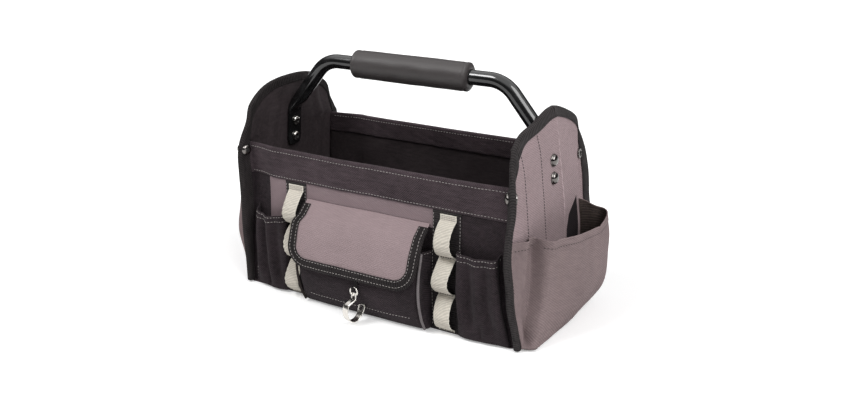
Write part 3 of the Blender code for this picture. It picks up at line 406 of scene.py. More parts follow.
def woven(name, colour, kind, pitch, depth, roughness, contrast, fade, sheen=0.0, cover=None):
    """Cloth of one weave: plain, twill, ribbed across or along, or fine diagonal."""
    look = Look(name, roughness, Specular_IOR_Level=0.14, Sheen_Weight=sheen, Sheen_Roughness=0.5)
    s, t, edge = look.place("cloth").parts()
    if kind == "twill":
        height = (s * 0.55 + t * 0.835).wave(pitch) * 0.78 + (s - t * 0.25).wave(pitch * 0.55) * 0.22
    elif kind.startswith("ribbed"):
        rib, other = (s, t) if kind == "ribbed_along" else (t, s)
        thread = (other + rib * 0.2).wave(pitch * 0.32)
        height = rib.wave(pitch).math("POWER", 0.7) * 0.85 + thread * 0.15
    elif kind == "diagonal":
        bent = t * 0.85 + s * 0.52 + look.noise(0.020, 1.0, source="cloth") * 0.004
        height = bent.wave(pitch) * 0.8 + (s - t).wave(pitch * 0.5) * 0.2
    else:
        height = (s.wave(pitch) - 0.5) * (t.wave(pitch) - 0.5) * 2.0 + 0.5
    fibre = look.noise(0.0014, 3.0, (1, 0.4, 1), "cloth")
    slub = look.noise(0.0055, 4.0, (0.4, 1.5, 1), "cloth")
    cloud = look.noise(0.050, 3.0)
    share = height * 0.60 + (fibre - 0.5) * 0.55 + (slub - 0.5) * 0.75 + (cloud - 0.5) * 0.60 + 0.20
    base = look.mix(share, *([part * shade for part in colour] for shade in contrast))
    rubbed = edge.step(0.0016, 0.0) * look.noise(0.012, 3.0)
    worn = rubbed * 0.45 + look.noise(0.03, 4.0).step(0.60, 0.78) * fade
    paler = [min(part * 1.7 + 0.01, 0.9) for part in colour]
    shown = look.mix(worn, base, paler)
    if cover:
        crease, pocket_shade = cover(look)
        # The end panel takes a paler crease line and painted shade inside the side pocket's mouth
        shown = look.mix(pocket_shade, look.mix(crease, shown, paler), POCKET_MOUTH_SHADE)
    return look.done(shown, height + fibre * 0.40 + slub * 0.35, depth)


def crease_line_and_pocket_shade(look):
    """Shares of the paler crease line on the right end, worn cloth with a painted highlight, and of the
    painted shade on the end panel inside a side pocket's mouth.
    """
    x, y, z = look.place("object").parts()
    # Paler line along the right end's crease: worn cloth, with a painted highlight on the fold
    off = (y + z * 0.158 - 0.0510).math("ABSOLUTE")
    crease = off.step(0.0014, 0.0006) * x.step(0.0, 0.01) * z.step(0.09, 0.17) * 0.75
    # Painted shade: the end panel is darkened where it lies inside a side pocket's mouth
    share = y.step(0.0400, 0.0415) * y.step(0.0820, 0.0810)
    for foot, slope, start in ((0.114, 2.0, 0.0405), (0.133, 0.536, 0.050)):
        share = share * ((y - start) * slope + foot - z).step(0.0, 0.0012)
    return crease, share


# Colour of the painted shade inside a side pocket's mouth
POCKET_MOUTH_SHADE = (0.014, 0.011, 0.0125)

# Woven looks: slot, material, colour, weave, pitch, depth of the bump, roughness, darkest and lightest
# shade, wear, sheen, marks (a paler crease line and painted shade in a side pocket's mouth)
WEAVES = {
    "black_fabric": ("black_fabric", "black_weave", (0.048, 0.0350, 0.0400), "plain", 0.0030, 0.00055,
                     0.9, (0.25, 1.75), 0.10, 0.04),
    # Darker copy of the black cloth: painted shade on the pockets and on the black parts of the front wall
    "shaded_black": ("black_fabric", "black_pocket_weave", (0.024, 0.0178, 0.0205), "plain", 0.0030, 0.00055,
                     0.9, (0.20, 1.80), 0.14, 0.02),
    "grey_twill": ("grey_twill", "mauve_grey_twill", (0.292, 0.223, 0.231), "twill", 0.0027, 0.00040,
                   0.9, (0.76, 1.19), 0.10, 0.0, crease_line_and_pocket_shade),
    # Slightly darker copy of the grey twill for the flap: painted shade
    "flap_twill": ("grey_twill", "mauve_grey_flap_twill", (0.262, 0.200, 0.207), "twill", 0.0026, 0.00030,
                   0.9, (0.86, 1.12), 0.08),
    # Darker copy of the grey twill for the front wall: painted shade under the band
    "wall_twill": ("grey_twill", "mauve_grey_wall_twill", (0.205, 0.156, 0.165), "twill", 0.0026, 0.00030,
                   0.9, (0.84, 1.14), 0.08),
    # Darker copy of the grey twill for the side pockets: painted shade on their downward-facing cloth
    "side_twill": ("grey_twill", "mauve_grey_pocket_twill", (0.205, 0.157, 0.158), "twill", 0.0027, 0.00040,
                   0.9, (0.70, 1.24), 0.10),
    # Much darker copy of the twill: painted shade on the inner face of a side pocket
    "twill_back": ("grey_twill", "brown_twill_back", (0.072, 0.056, 0.050), "twill", 0.0031, 0.00042,
                   0.9, (0.55, 1.35), 0.05),
    # Dark copy of the twill for the left piping: painted shade on the bag's shaded side
    "piping_shade": ("grey_twill", "dark_twill_piping", (0.030, 0.0235, 0.0225), "twill", 0.0031, 0.00042,
                    0.9, (0.55, 1.35), 0.05),
    "webbing_black": ("webbing_black", "black_ribbed_tape", (0.018, 0.0155, 0.0160), "ribbed", 0.0030,
                      0.00060, 0.72, (0.25, 2.0), 0.03),
    "tape_along": ("webbing_black", "black_ribbed_binding", (0.019, 0.0165, 0.0168), "ribbed_along", 0.0034,
                   0.00075, 0.68, (0.18, 2.5), 0.03),
    # Darker ribbed tape of the flap's border; the left end's binding takes it too, as painted shade
    "border_tape": ("webbing_black", "black_ribbed_border", (0.0105, 0.0088, 0.0090), "ribbed_along", 0.0034,
                    0.00075, 0.75, (0.15, 3.0), 0.03),
    "piping": ("grey_twill", "grey_piping", (0.160, 0.143, 0.147), "twill", 0.0022, 0.0002,
               0.9, (0.7, 1.2), 0.1),
    "webbing_light": ("webbing_light", "light_webbing", (0.560, 0.520, 0.455), "diagonal", 0.0034, 0.00035,
                      0.82, (0.66, 1.12), 0.0),
    "lining": ("lining", "black_lining", (0.036, 0.028, 0.030), "plain", 0.0022, 0.00022,
               0.75, (0.40, 1.60), 0.08),
    "thread": ("webbing_light", "grey_thread", (0.330, 0.305, 0.295), "twill", 0.0006, 0.00008,
               0.7, (0.7, 1.1), 0.0),
    "dark_thread": ("webbing_black", "black_thread", (0.030, 0.025, 0.026), "twill", 0.0006, 0.00008,
                    0.6, (0.7, 1.3), 0.0),
}

# Looks of one noise: material, roughness, metal, size and detail of the noise, both colours, bump
GRAINS = {
    "patch": ("napped_patch", 0.95, 0.0, 0.0009, 4.0, (0.012, 0.011, 0.011), (0.05, 0.047, 0.047), 0.0006),
    "board": ("board_plastic", 0.6, 0.0, 0.0012, 4.0, (0.022, 0.022, 0.023), (0.040, 0.040, 0.043), 0.0002),
    # Dark metal painted into the hollows of bolts and rivets, as shade
    "core": ("hollow_painted_shade", 0.6, 0.6, 0.002, 3.0, (0.010, 0.010, 0.010), (0.04, 0.038, 0.037), 0.0001),
}

# Plated metals: tarnished and bright colour
METALS = {
    "dark_nickel": ((0.10, 0.092, 0.088), (0.230, 0.215, 0.205)),
    "bright_steel": ((0.56, 0.53, 0.49), (0.78, 0.755, 0.71)),
}
METAL_ROUGHNESS = 0.15


def make_looks():
    """Every material of the bag, by the name of its look."""
    looks = {name: woven(*row[1:]) for name, row in WEAVES.items()}
    for name, (material, roughness, metal, size, detail, dark, light, depth) in GRAINS.items():
        look = Look(material, roughness, metal)
        grain = look.noise(size, detail)
        looks[name] = look.done(look.mix(grain, dark, light), grain, depth)

    foam = Look("foam_grip", 0.6, Specular_IOR_Level=0.42)
    pores = foam.noise(0.0008, 3.0)
    scuffs = foam.noise(0.010, 5.0, (0.5, 2.2, 2.2))
    skin = foam.mix(pores * 0.5 + scuffs * 0.5, (0.026, 0.0226, 0.0224), (0.056, 0.0490, 0.0485))
    looks["foam"] = foam.done(skin, pores + scuffs * 0.6, 0.00026, Roughness=scuffs * 0.25 + 0.33)

    paint = Look("tube_paint_gloss", 0.12, Coat_Weight=0.4, Coat_Roughness=0.04)
    dust = paint.noise(0.018, 5.0)
    coat = paint.mix(dust.step(0.45, 0.8), (0.0060, 0.0060, 0.0063), (0.016, 0.016, 0.0165))
    looks["tube_paint"] = paint.done(coat, paint.noise(0.004, 2.0), 0.00006, Roughness=dust * 0.10 + 0.08)

    for slot, (dark, light) in METALS.items():
        metal = Look(slot + "_plate", METAL_ROUGHNESS, 1.0)
        tarnish = metal.noise(0.005, 4.0)
        brushed = metal.noise(0.0016, 4.0, (1, 1, 3))
        looks[slot] = metal.done(metal.mix(tarnish, dark, light), brushed, 0.00003,
                                 Roughness=tarnish * 0.24 + (METAL_ROUGHNESS - 0.08))
    return looks


LOOKS = make_looks()


# Meshes

# How far the edge of a cloth draws in and how far it bulges, as shares of half its thickness
RIM_INSET = 0.6
RIM_BULGE = 0.1
TUBE_SIDES = 40
GRIP_SIDES = 56
TURNED_SIDES = 40


def add_piece(name, verts, faces, lengths, look, nodes=(), body="bag"):
    """Piece that rides on its body, with its material.

    lengths holds (along, across, from the edge) of the cloth for every vertex, in metres.
    """
    mesh = bpy.data.meshes.new(name)
    mesh.from_pydata(verts, [], faces)
    if lengths is not None:
        attribute = mesh.attributes.new("cloth", "FLOAT_VECTOR", "POINT")
        attribute.data.foreach_set("vector", np.asarray(lengths, np.float32).ravel())
    obj = bpy.data.objects.new(name, mesh)
    bpy.context.scene.collection.objects.link(obj)
    mesh.materials.append(LOOKS[look])
    mesh.shade_smooth()
    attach(obj, body)
    if nodes:
        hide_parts(*nodes)
    return obj


def soften(obj, width):
    """Round the sharp edges of a hard piece."""
    bevel = obj.modifiers.new("Soft edges", "BEVEL")
    bevel.width = width
    bevel.segments = 2
    bevel.limit_method = "ANGLE"
    bevel.angle_limit = math.radians(45)


def unit(vectors):
    """Vectors of length 1."""
    size = np.linalg.norm(vectors, axis=-1, keepdims=True)
    return vectors / np.maximum(size, 1e-12)


def sheet(name, us, vs, place, thickness, look, nodes=(), body="bag", second=None, is_second=None):
    """Cloth through place(u, v), thickened both ways with a rounded edge.

    Faces for which is_second(u, v, side) holds take the second look; side is 1 where the cloth faces
    the product of its u and v directions.
    """
    spots = np.array([[place(u, v)[:] for u in us] for v in vs])
    rows, columns = spots.shape[:2]
    du = np.gradient(spots, axis=1)
    dv = np.gradient(spots, axis=0)
    out = np.cross(unit(du), unit(dv))
    weak = (np.linalg.norm(out, axis=-1) < 0.25)[..., None]
    out = unit(out)
    if weak.any():
        padded = np.pad(np.where(weak, 0, out), ((1, 1), (1, 1), (0, 0)))
        around = sum(padded[1 + a:1 + a + rows, 1 + b:1 + b + columns]
                     for a in (-1, 0, 1) for b in (-1, 0, 1))
        out = np.where(weak, unit(around), out)
    along = np.zeros((rows, columns))
    along[:, 1:] = np.cumsum(np.linalg.norm(np.diff(spots, axis=1), axis=-1), axis=1)
    across = np.zeros((rows, columns))
    across[1:] = np.cumsum(np.linalg.norm(np.diff(spots, axis=0), axis=-1), axis=0)
    edge = np.minimum.reduce([along, along[:, -1:] - along, across, across[-1:] - across])
    along = along - along[:, columns // 2:columns // 2 + 1]
    lengths = np.stack([along, across, edge], axis=-1)

    half = thickness / 2
    cloth = spots.copy()
    loop = [(0, i) for i in range(columns)] + [(j, columns - 1) for j in range(1, rows)]
    loop += [(rows - 1, i) for i in range(columns - 2, -1, -1)] + [(j, 0) for j in range(rows - 2, 0, -1)]
    rim = []
    for j, i in loop:
        away = unit(unit(dv[j, i]) * ((j == rows - 1) - (j == 0))
                    + unit(du[j, i]) * ((i == columns - 1) - (i == 0)))
        cloth[j, i] = spots[j, i] - away * half * RIM_INSET
        rim.append(spots[j, i] + away * half * RIM_BULGE)
    count = rows * columns
    verts = np.concatenate([(cloth + out * half).reshape(-1, 3), (cloth - out * half).reshape(-1, 3),
                            np.array(rim)])
    faces = []
    others = []
    for j in range(rows - 1):
        for i in range(columns - 1):
            a = j * columns + i
            b, c, d = a + 1, a + 1 + columns, a + columns
            faces += [(a, b, c, d), (count + d, count + c, count + b, count + a)]
            if second:
                others += [is_second((us[i] + us[i + 1]) / 2, (vs[j] + vs[j + 1]) / 2, side)
                           for side in (1, -1)]
    for k, (j, i) in enumerate(loop):
        n = (k + 1) % len(loop)
        a, b = j * columns + i, loop[n][0] * columns + loop[n][1]
        r, q = 2 * count + k, 2 * count + n
        faces += [(b, a, r, q), (count + a, count + b, q, r)]
    flat = lengths.reshape(-1, 3)
    lengths = np.concatenate([flat, flat, [lengths[j, i] for j, i in loop]])
    obj = add_piece(name, verts.tolist(), faces, lengths, look, nodes, body)
    if second:
        obj.data.materials.append(LOOKS[second])
        for face, other in zip(obj.data.polygons, others):
            face.material_index = int(other)
    return obj


def tube(name, rings, look, nodes=(), cyclic=False):
    """Closed skin over rings of points, capped at both ends unless it is cyclic."""
    sides = len(rings[0])
    faces = []
    for j in range(len(rings) if cyclic else len(rings) - 1):
        n = (j + 1) % len(rings)
        for i in range(sides):
            h = (i + 1) % sides
            faces.append((j * sides + i, j * sides + h, n * sides + h, n * sides + i))
    if not cyclic:
        faces.append(tuple(range(sides))[::-1])
        faces.append(tuple(range((len(rings) - 1) * sides, len(rings) * sides)))
    runs = running([sum(ring, Vector()) / sides for ring in rings])
    lengths = [(turn, run, 1.0) for ring, run in zip(rings, runs) for turn in running(ring)]
    obj = add_piece(name, [tuple(p) for ring in rings for p in ring], faces, lengths, look, nodes)
    obj.data.set_sharp_from_angle(angle=math.radians(60))
    return obj


def ring_round(centre, run, radius, sides):
    """Ring of points round a run through centre."""
    first = run.cross(Vector((0, 1, 0)))
    if first.length < 0.1:
        first = run.cross(Vector((1, 0, 0)))
    first.normalize()
    second = first.cross(run).normalized()
    return [centre + (first * math.cos(angle) + second * math.sin(angle)) * radius for angle in turns(sides)]


def wire(name, points, radius, look, nodes=(), cyclic=False, sides=12):
    """Round wire or cord along points."""
    rings = [ring_round(here, heading(points, k, cyclic), radius, sides) for k, here in enumerate(points)]
    return tube(name, rings, look, nodes, cyclic)


def arc(start, end, steps, centre, height, wide, tall):
    """Part of a profile: (radius, height) along an arc, from one angle to another."""
    return [(centre + wide * math.cos(angle), height + tall * math.sin(angle))
            for angle in spaced(start, end, steps)]


def turned(name, profile, place, look, nodes=(), core=0.0):
    """Turned piece: a profile of (radius, height) from the axis back to the axis, round its own Z.

    Faces nearer the axis than core take a dark material, which is painted shade in the hollow.
    """
    verts = []
    rings = []
    for radius, height in profile:
        angles = turns(TURNED_SIDES if radius else 1)
        rings.append(range(len(verts), len(verts) + len(angles)))
        verts += [tuple(place @ Vector((radius * math.cos(angle), radius * math.sin(angle), height)))
                  for angle in angles]
    faces = []
    inner = []
    for k, (first, second) in enumerate(zip(rings, rings[1:])):
        for i in range(TURNED_SIDES):
            h = (i + 1) % TURNED_SIDES
            corners = [ring[j % len(ring)] for ring, j in ((first, i), (first, h), (second, h), (second, i))]
            faces.append(tuple(dict.fromkeys(corners))[::-1])
            inner.append(max(profile[k][0], profile[k + 1][0]) < core)
    obj = add_piece(name, verts, faces, None, look, nodes)
    # Faces in the hollow take the dark material, which is painted shade
    if core:
        obj.data.materials.append(LOOKS["core"])
        for face, dark in zip(obj.data.polygons, inner):
            face.material_index = int(dark)
    obj.data.set_sharp_from_angle(angle=math.radians(50))
    soften(obj, 0.0003)
    return obj


def facing(origin, axis):
    """Placement at origin whose Z points along axis and whose Y stays level."""
    z = Vector(axis).normalized()
    y = z.cross(Vector((1, 0, 0)) if abs(z.x) < 0.5 else Vector((0, 0, 1))).normalized()
    x = y.cross(z)
    place = Matrix((x, y, z)).transposed().to_4x4()
    place.translation = origin
    return place


# Stitches

SEAM_STEP = 0.0005


def seam(place, path, toward):
    """Stitches along a path of (u, v) on a cloth, as (start, end, out) triples.

    toward is a direction on the side that shows.
    """
    spots = []
    outs = []
    for u, v in path:
        one = place(u + SEAM_STEP, v) - place(u - SEAM_STEP, v)
        two = place(u, v + SEAM_STEP) - place(u, v - SEAM_STEP)
        out = one.cross(two)
        out = out.normalized() if out.length > 1e-15 else Vector(toward)
        if out.dot(Vector(toward)) < 0:
            out.negate()
        spots.append(place(u, v) + out * (FABRIC / 2))
        outs.append(out)
    return run_stitches(spots, outs)


def run_stitches(spots, outs, pitch=STITCH_PITCH, length=STITCH_LENGTH):
    """Cut a run of points with their outward directions into stitches."""
    runs = running(spots)
    count = int((runs[-1] - length) / pitch) + 1
    start = (runs[-1] - (count - 1) * pitch - length) / 2
    k = 0

    def at(distance):
        nonlocal k
        while k < len(runs) - 2 and distance > runs[k + 1]:
            k += 1
        share = (distance - runs[k]) / max(runs[k + 1] - runs[k], 1e-9)
        return spots[k].lerp(spots[k + 1], share), outs[k].lerp(outs[k + 1], share)

    made = []
    for index in range(count):
        low = start + index * pitch
        (a, out), (b, _) = at(low), at(low + length)
        made.append((a, b, out.normalized()))
    return made


def straight_row(spots, out, pitch=STITCH_PITCH, length=STITCH_LENGTH):
    """Cut a run of points that all face out into stitches."""
    return run_stitches(spots, [Vector(out)] * len(spots), pitch, length)


def stitches(name, seams, body="bag", look="thread", radius=THREAD_RADIUS):
    """Every stitch of some seams as small rounded bars, in one piece."""
    verts = []
    faces = []
    lengths = []
    sides = THREAD_SIDES
    last = len(THREAD_FORM) - 1
    for a, b, out in (stitch for run in seams for stitch in run):
        run = (b - a).normalized()
        side = run.cross(out).normalized()
        base = len(verts)
        size = (b - a).length
        for share, width, rise in THREAD_FORM:
            middle = a + run * (share * size) + out * (rise * radius)
            for angle in turns(sides):
                round_it = side * math.cos(angle) + out * math.sin(angle) * 0.8
                verts.append(tuple(middle + round_it * radius * width))
                lengths.append((share * size, angle * radius, 1.0))
        for j in range(last):
            for i in range(sides):
                h = (i + 1) % sides
                low, high = base + j * sides, base + (j + 1) * sides
                faces.append((low + i, high + i, high + h, low + h))
        faces.append(tuple(range(base, base + sides)))
        faces.append(tuple(range(base + last * sides, base + (last + 1) * sides))[::-1])
    return add_piece(name, verts, faces, lengths, look, (), body)


# Shape of the bag

def end_x(z):
    """Outer face of the right end at height z: it flares over the floor, then leans in straight."""
    if z >= SHOULDER_HEIGHT:
        return SHOULDER_LENGTH / 2 + END_SLOPE * (z - SHOULDER_HEIGHT)
    return eased(BASE_LENGTH / 2, SHOULDER_LENGTH / 2, FLARE_SLOPE * SHOULDER_HEIGHT,
                 END_SLOPE * SHOULDER_HEIGHT, z / SHOULDER_HEIGHT)


def arch_half(z):
    """Half width of an end at height z: it widens up to the shoulder, then closes in an arch."""
    if z <= SHOULDER_HEIGHT:
        share = smooth((z - FLOOR_TOP) / (SHOULDER_HEIGHT - FLOOR_TOP))
        return BODY_DEPTH / 2 + blend(FIN_BASE, FIN_WIDTH, share)
    share = min((z - SHOULDER_HEIGHT) / (END_HEIGHT - SHOULDER_HEIGHT), 1.0)
    return (BODY_DEPTH / 2 + FIN_WIDTH) * (1 - share ** ARCH_POWER) ** (1 / ARCH_POWER)


# How far each bound fin stands outward, draws inward and turns outward beyond its wall, by whether it is
# right and rear: (height, out, in, slope)
FIN_SHIFTS = {
    (False, False): ((0.0, -0.0040, 0.0060, 0.25), (0.10, -0.0112, 0.0070, 0.25),
                     (0.15, -0.0105, 0.0090, 0.25), (0.20, -0.0062, 0.0102, 0.25), (0.30, 0.0, 0.0060, 0.25)),
    (False, True): ((0.0, 0.0, 0.0050, 0.0), (0.10, 0.0020, 0.0080, 0.0), (0.20, 0.0036, 0.0121, 0.0),
                    (0.30, 0.0030, 0.0100, 0.0)),
    (True, False): ((0.0, 0.0080, 0.0065, 0.0), (0.03, 0.0020, 0.0020, 0.10), (0.06, -0.0045, -0.0030, 0.25),
                    (0.09, -0.0082, -0.0030, 0.35), (0.12, -0.0094, -0.0030, 0.36),
                    (0.15, -0.0082, -0.0008, 0.40), (0.20, -0.0083, 0.0040, 0.70),
                    (0.24, -0.0030, 0.0040, 0.35), (0.30, 0.0018, 0.0040, 0.0)),
    (True, True): ((0.0, 0.0, 0.0060, 0.35), (0.10, -0.0010, 0.0110, 0.35), (0.20, -0.0015, 0.0150, 0.35),
                   (0.30, 0.0, 0.0110, 0.35)),
}

# Across the right end, by height: where its standing ridge and its front facet run
RIDGE_LINE = ((0.0, 0.048), (0.10, 0.035), (0.197, 0.0195), (0.288, 0.004))
FACET_LINE = (-0.0745, -0.0955)


def held(p):
    """Share of the sag that a point takes: none beside bolts and rivets, which hold the fabric."""
    if abs(p.x) <= 0.15:
        return 1.0
    leg = math.hypot(p.y, p.z - within(p.z, LEG_FOOT_HEIGHT, 0.25))
    rivet = math.hypot(abs(p.y) - (arch_half(RIVET_HEIGHT) - RIVET_EDGE), p.z - RIVET_HEIGHT)
    return smooth((leg - 0.018) / 0.03) * smooth((rivet - 0.008) / 0.025)


def fin_shift(p):
    """How far a point past the corner moves with its fin."""
    past = smooth((abs(p.y) - 0.088) / 0.030)
    if past == 0:
        return Vector()
    rows = FIN_SHIFTS[p.x > 0, p.y > 0]
    out, inward, slope = (curve_through([(row[0], row[k]) for row in rows], p.z) for k in (1, 2, 3))
    out += slope * max(abs(p.y) - BODY_DEPTH / 2, 0.0)
    return Vector((math.copysign(1, p.x) * out, -math.copysign(1, p.y) * inward, 0)) * past


def right_form(p):
    """Standing ridge, front facet and sunken top of the right end."""
    ridge = p.y - curve_through(RIDGE_LINE, p.z)
    facet = p.y - blend(*FACET_LINE, p.z / END_HEIGHT)
    out = (0.0042 * math.exp(-abs(ridge) / 0.0050) - 0.055 * max(ridge - 0.004, 0.0)
           - 0.0024 * math.exp(-abs(facet) / 0.0050))
    down = (0.0012 + 0.0050 * hump(ridge, -0.045, 0.030) + 0.0025 * hump(ridge, 0.055, 0.03)
            + 0.0035 * (1 - math.exp(-abs(ridge) / 0.012)))
    return Vector((out * smooth((p.z - 0.10) / 0.05), 0, -down * smooth((p.z - 0.225) / 0.06)))


def sag(p):
    """Where a fabric point lies once the bag sags. All layers share this slow warp."""
    p = Vector(p)
    low = smooth(p.z / 0.03)
    shift = Vector((wander(p, 0.075, 1.0), wander(p, 0.075, 5.0), wander(p, 0.11, 9.0) * low)) * 0.0016
    shift.z *= 0.6
    end = smooth((abs(p.x) - 0.150) / 0.05)
    top = smooth((p.z - 0.235) / 0.055)
    shift.y -= 0.005 * end * top
    fixed = fin_shift(p) if end > 0 else Vector()
    if p.x > 0:
        shift.x -= 0.005 * end * hump(p.y, -0.078, 0.034) * smooth((p.z - 0.215) / 0.05)
        fixed += right_form(p)
    else:
        shift.x += 0.0022 * end * math.sin(p.y / 0.020 + 1.0) * smooth((p.z - 0.05) / 0.08)
        fixed.y -= 0.0075 * smooth((p.y - 0.040) / 0.07) * smooth((p.z - 0.208) / 0.03)
        fixed.z -= 0.0020 * top
    if p.z > 0.11:
        middle = (1 - end) * math.cos(min(abs(p.x) / 0.2, 1.0) * math.pi / 2)
        shift.z -= 0.0016 * middle * smooth((p.z - 0.15) / 0.05)
        shift.y += math.copysign(0.0022, -p.y) * middle * smooth((p.z - 0.12) / 0.08)
    return p + shift * held(p) + fixed * end


def arch_point(share, base, inset, top_inset):
    """Place (y, z) a share of the way over the arch, from the height base in front to base behind."""
    rise = END_HEIGHT - top_inset - SHOULDER_HEIGHT
    start = math.asin(((base - SHOULDER_HEIGHT) / rise) ** (ARCH_POWER / 2))
    angle = blend(start, math.pi - start, share)
    half = BODY_DEPTH / 2 + FIN_WIDTH - inset
    return Vector((-half * rounded(math.cos(angle), ARCH_POWER),
                   SHOULDER_HEIGHT + rise * rounded(math.sin(angle), ARCH_POWER)))


def end_spot(u, v, base, low_half, wide, inset, top_inset):
    """Place (y, z) on an end: v below 0 is under the height base, 0 to 1 fills the arch.

    low_half(z) is the half width below base, and wide the half width that the arch starts with.
    """
    if v <= 0:
        z = blend(base, FLOOR_TOP, -v)
        return Vector((u * low_half(z), z))
    corner = ARCH_CORNER_SHARE
    v = min(v, 1.0)
    share = (u + 1) / 2
    low = Vector((wide, 0))
    foot = Vector((0, base))
    corners = [arch_point(place, base, inset, top_inset) for place in (corner, 1 - corner)]
    left = arch_point(corner * v, base, inset, top_inset)
    right = arch_point(1 - corner * v, base, inset, top_inset)
    top = arch_point(blend(corner, 1 - corner, share), base, inset, top_inset)
    ends = (foot - low).lerp(corners[0], v).lerp((foot + low).lerp(corners[1], v), share)
    return (foot + low * u).lerp(top, v) + left.lerp(right, share) - ends


def end_place(side, y, z, depth):
    """Point a depth inside the outer face of an end, before the bag sags."""
    return Vector((side * (end_x(z) - depth), y, z))


END_US = spaced(-1, 1, 112)
END_VS = [-v for v in spaced(0, 1, 44)[::-1]] + spaced(0, 1, 26)[1:]


def add_ends():
    """Both arched ends: panel, board, lining, binding, with their seams."""
    lining_depth = FABRIC + GAP + END_BOARD + GAP + LINING / 2
    board_depth = FABRIC + GAP + END_BOARD / 2
    board_half = BODY_DEPTH / 2 - END_BOARD_INSET
    narrow = BODY_DEPTH / 2 - WALL_STACK - GAP
    base = WALL_HEIGHT + TAPE
    wide = -arch_point(0, base, FIN_SETBACK, FIN_SETBACK).x
    for hand, side in LEFT_RIGHT:
        def panel_place(u, v):
            spot = end_spot(u, v, WALL_HEIGHT, arch_half, arch_half(WALL_HEIGHT), 0, 0)
            return sag(end_place(side, spot.x, spot.y, FABRIC / 2))

        sheet(f"{hand}_end_cloth", END_US, END_VS, panel_place, FABRIC, "grey_twill",
              (f"{hand}_end_panel",))

        def board_place(u, v):
            spot = end_spot(u, v, WALL_HEIGHT, lambda z: board_half, board_half,
                            END_BOARD_INSET + FIN_WIDTH, END_BOARD_TOP_INSET)
            return sag(end_place(side, spot.x, spot.y, board_depth))

        sheet(f"{hand}_end_stiffener", END_US[::4], END_VS[2::2], board_place, END_BOARD, "board",
              (f"{hand}_end_board",))

        def lining_place(u, v):
            spot = end_spot(u, v, base, lambda z: narrow, wide, FIN_SETBACK, FIN_SETBACK)
            p = end_place(side, spot.x, spot.y, lining_depth)
            edge = smooth((1 - abs(u)) / 0.2) * smooth((1 - v) / 0.25) * smooth((v + 1) / 0.1)
            fold = max(math.sin(spot.x / 0.0080 + 2.6 * wander(p, 0.08, 3.0)), 0.0) ** 1.4
            p.x -= side * 0.0042 * fold * edge * held(p) * (0.6 + 0.4 * wander(p, 0.05, 7.0))
            return sag(p)

        sheet(f"{hand}_lining_cloth", END_US, END_VS, lining_place, LINING, "lining",
              (f"{hand}_end_lining",))
        add_binding(hand, side)
        rows = [[sag(end_place(side, *part_way(ends, share), -0.0001)) for share in spaced(0, 1, 60)]
                for ends in END_SEAMS]
        stitches(f"{hand}_end_seams", [straight_row(row, (side, 0, 0), 0.0042) for row in rows],
                 look="dark_thread", radius=0.00055)


def outline_path(steps):
    """Edge of an end as (y, z), from the front foot over the arch to the rear foot."""
    low = [(arch_half(z), z) for z in spaced(FLOOR_TOP, WALL_HEIGHT, 90)[:-1]]
    arch = [arch_point(share, WALL_HEIGHT, 0, 0)[:] for share in spaced(0, 1, steps)]
    return [(-y, z) for y, z in low] + arch + [(y, z) for y, z in reversed(low)]


BINDING_TURN = 10
BINDING_FACE = 5


def folded(j, face, turn, back):
    """Row j of a tape folded round an edge: its shares of the face and of the back, and its angle."""
    return max(1 - j / face, 0), max((j - face - turn) / back, 0), math.pi * within((j - face) / turn)


def add_binding(hand, side):
    """Tape folded round the edge of an end and its fins, with its seam."""
    path = outline_path(130)
    runs = [heading(path, k) for k in range(len(path))]
    inward = [Vector((run.y, -run.x)) for run in runs]
    outer = -(GAP + TAPE / 2)

    def place(k, j):
        y, z = part_way(path, k)
        stack = blend(FIN_STACK, END_STACK, smooth((z - WALL_HEIGHT) / 0.006))
        inner = stack + GAP + TAPE / 2
        radius = (inner - outer) / 2
        room = arch_half(min(z, WALL_HEIGHT)) - BODY_DEPTH / 2 - WALL_BEND - FABRIC / 2 - GAP
        face, back, angle = folded(j, BINDING_FACE, BINDING_TURN, BINDING_FACE)
        width = BINDING_WIDTH * face + min(BINDING_WIDTH, room) * back - radius * 0.92 * math.sin(angle)
        depth = (outer + inner) / 2 - radius * math.cos(angle)
        depth += 0.0002 * math.sin(math.pi * back) - 0.0003 * math.sin(math.pi * face)
        spot = Vector((y, z)) + Vector(part_way(inward, k)) * width
        return sag(end_place(side, spot.x, max(spot.y, FLOOR_TOP), depth))

    ks = range(len(path))
    # The left end's binding takes the darker border tape, which is painted shade
    sheet(f"{hand}_binding_tape", ks, range(2 * BINDING_FACE + BINDING_TURN + 1), place, TAPE,
          "tape_along" if side > 0 else "border_tape", (f"{hand}_edge_binding",))
    rows = []
    for j, toward in ((BINDING_FACE * 0.22, side), (BINDING_FACE * 1.78 + BINDING_TURN, -side)):
        out = Vector((toward, 0, 0))
        rows.append(straight_row([place(k, j) + out * (TAPE / 2) for k in ks[2:-2]], out))
    stitches(f"{hand}_binding_seams", rows, look="dark_thread")


# Walls

BEND_STEPS = 3
# How far a band's seams lie from its fold and its edge, and the stations they reach outside and inside
SEAM_DROP = 0.0052
SEAM_RISE = 0.0030
SEAM_REACH = 6.2
INNER_SEAM_REACH = 1.97


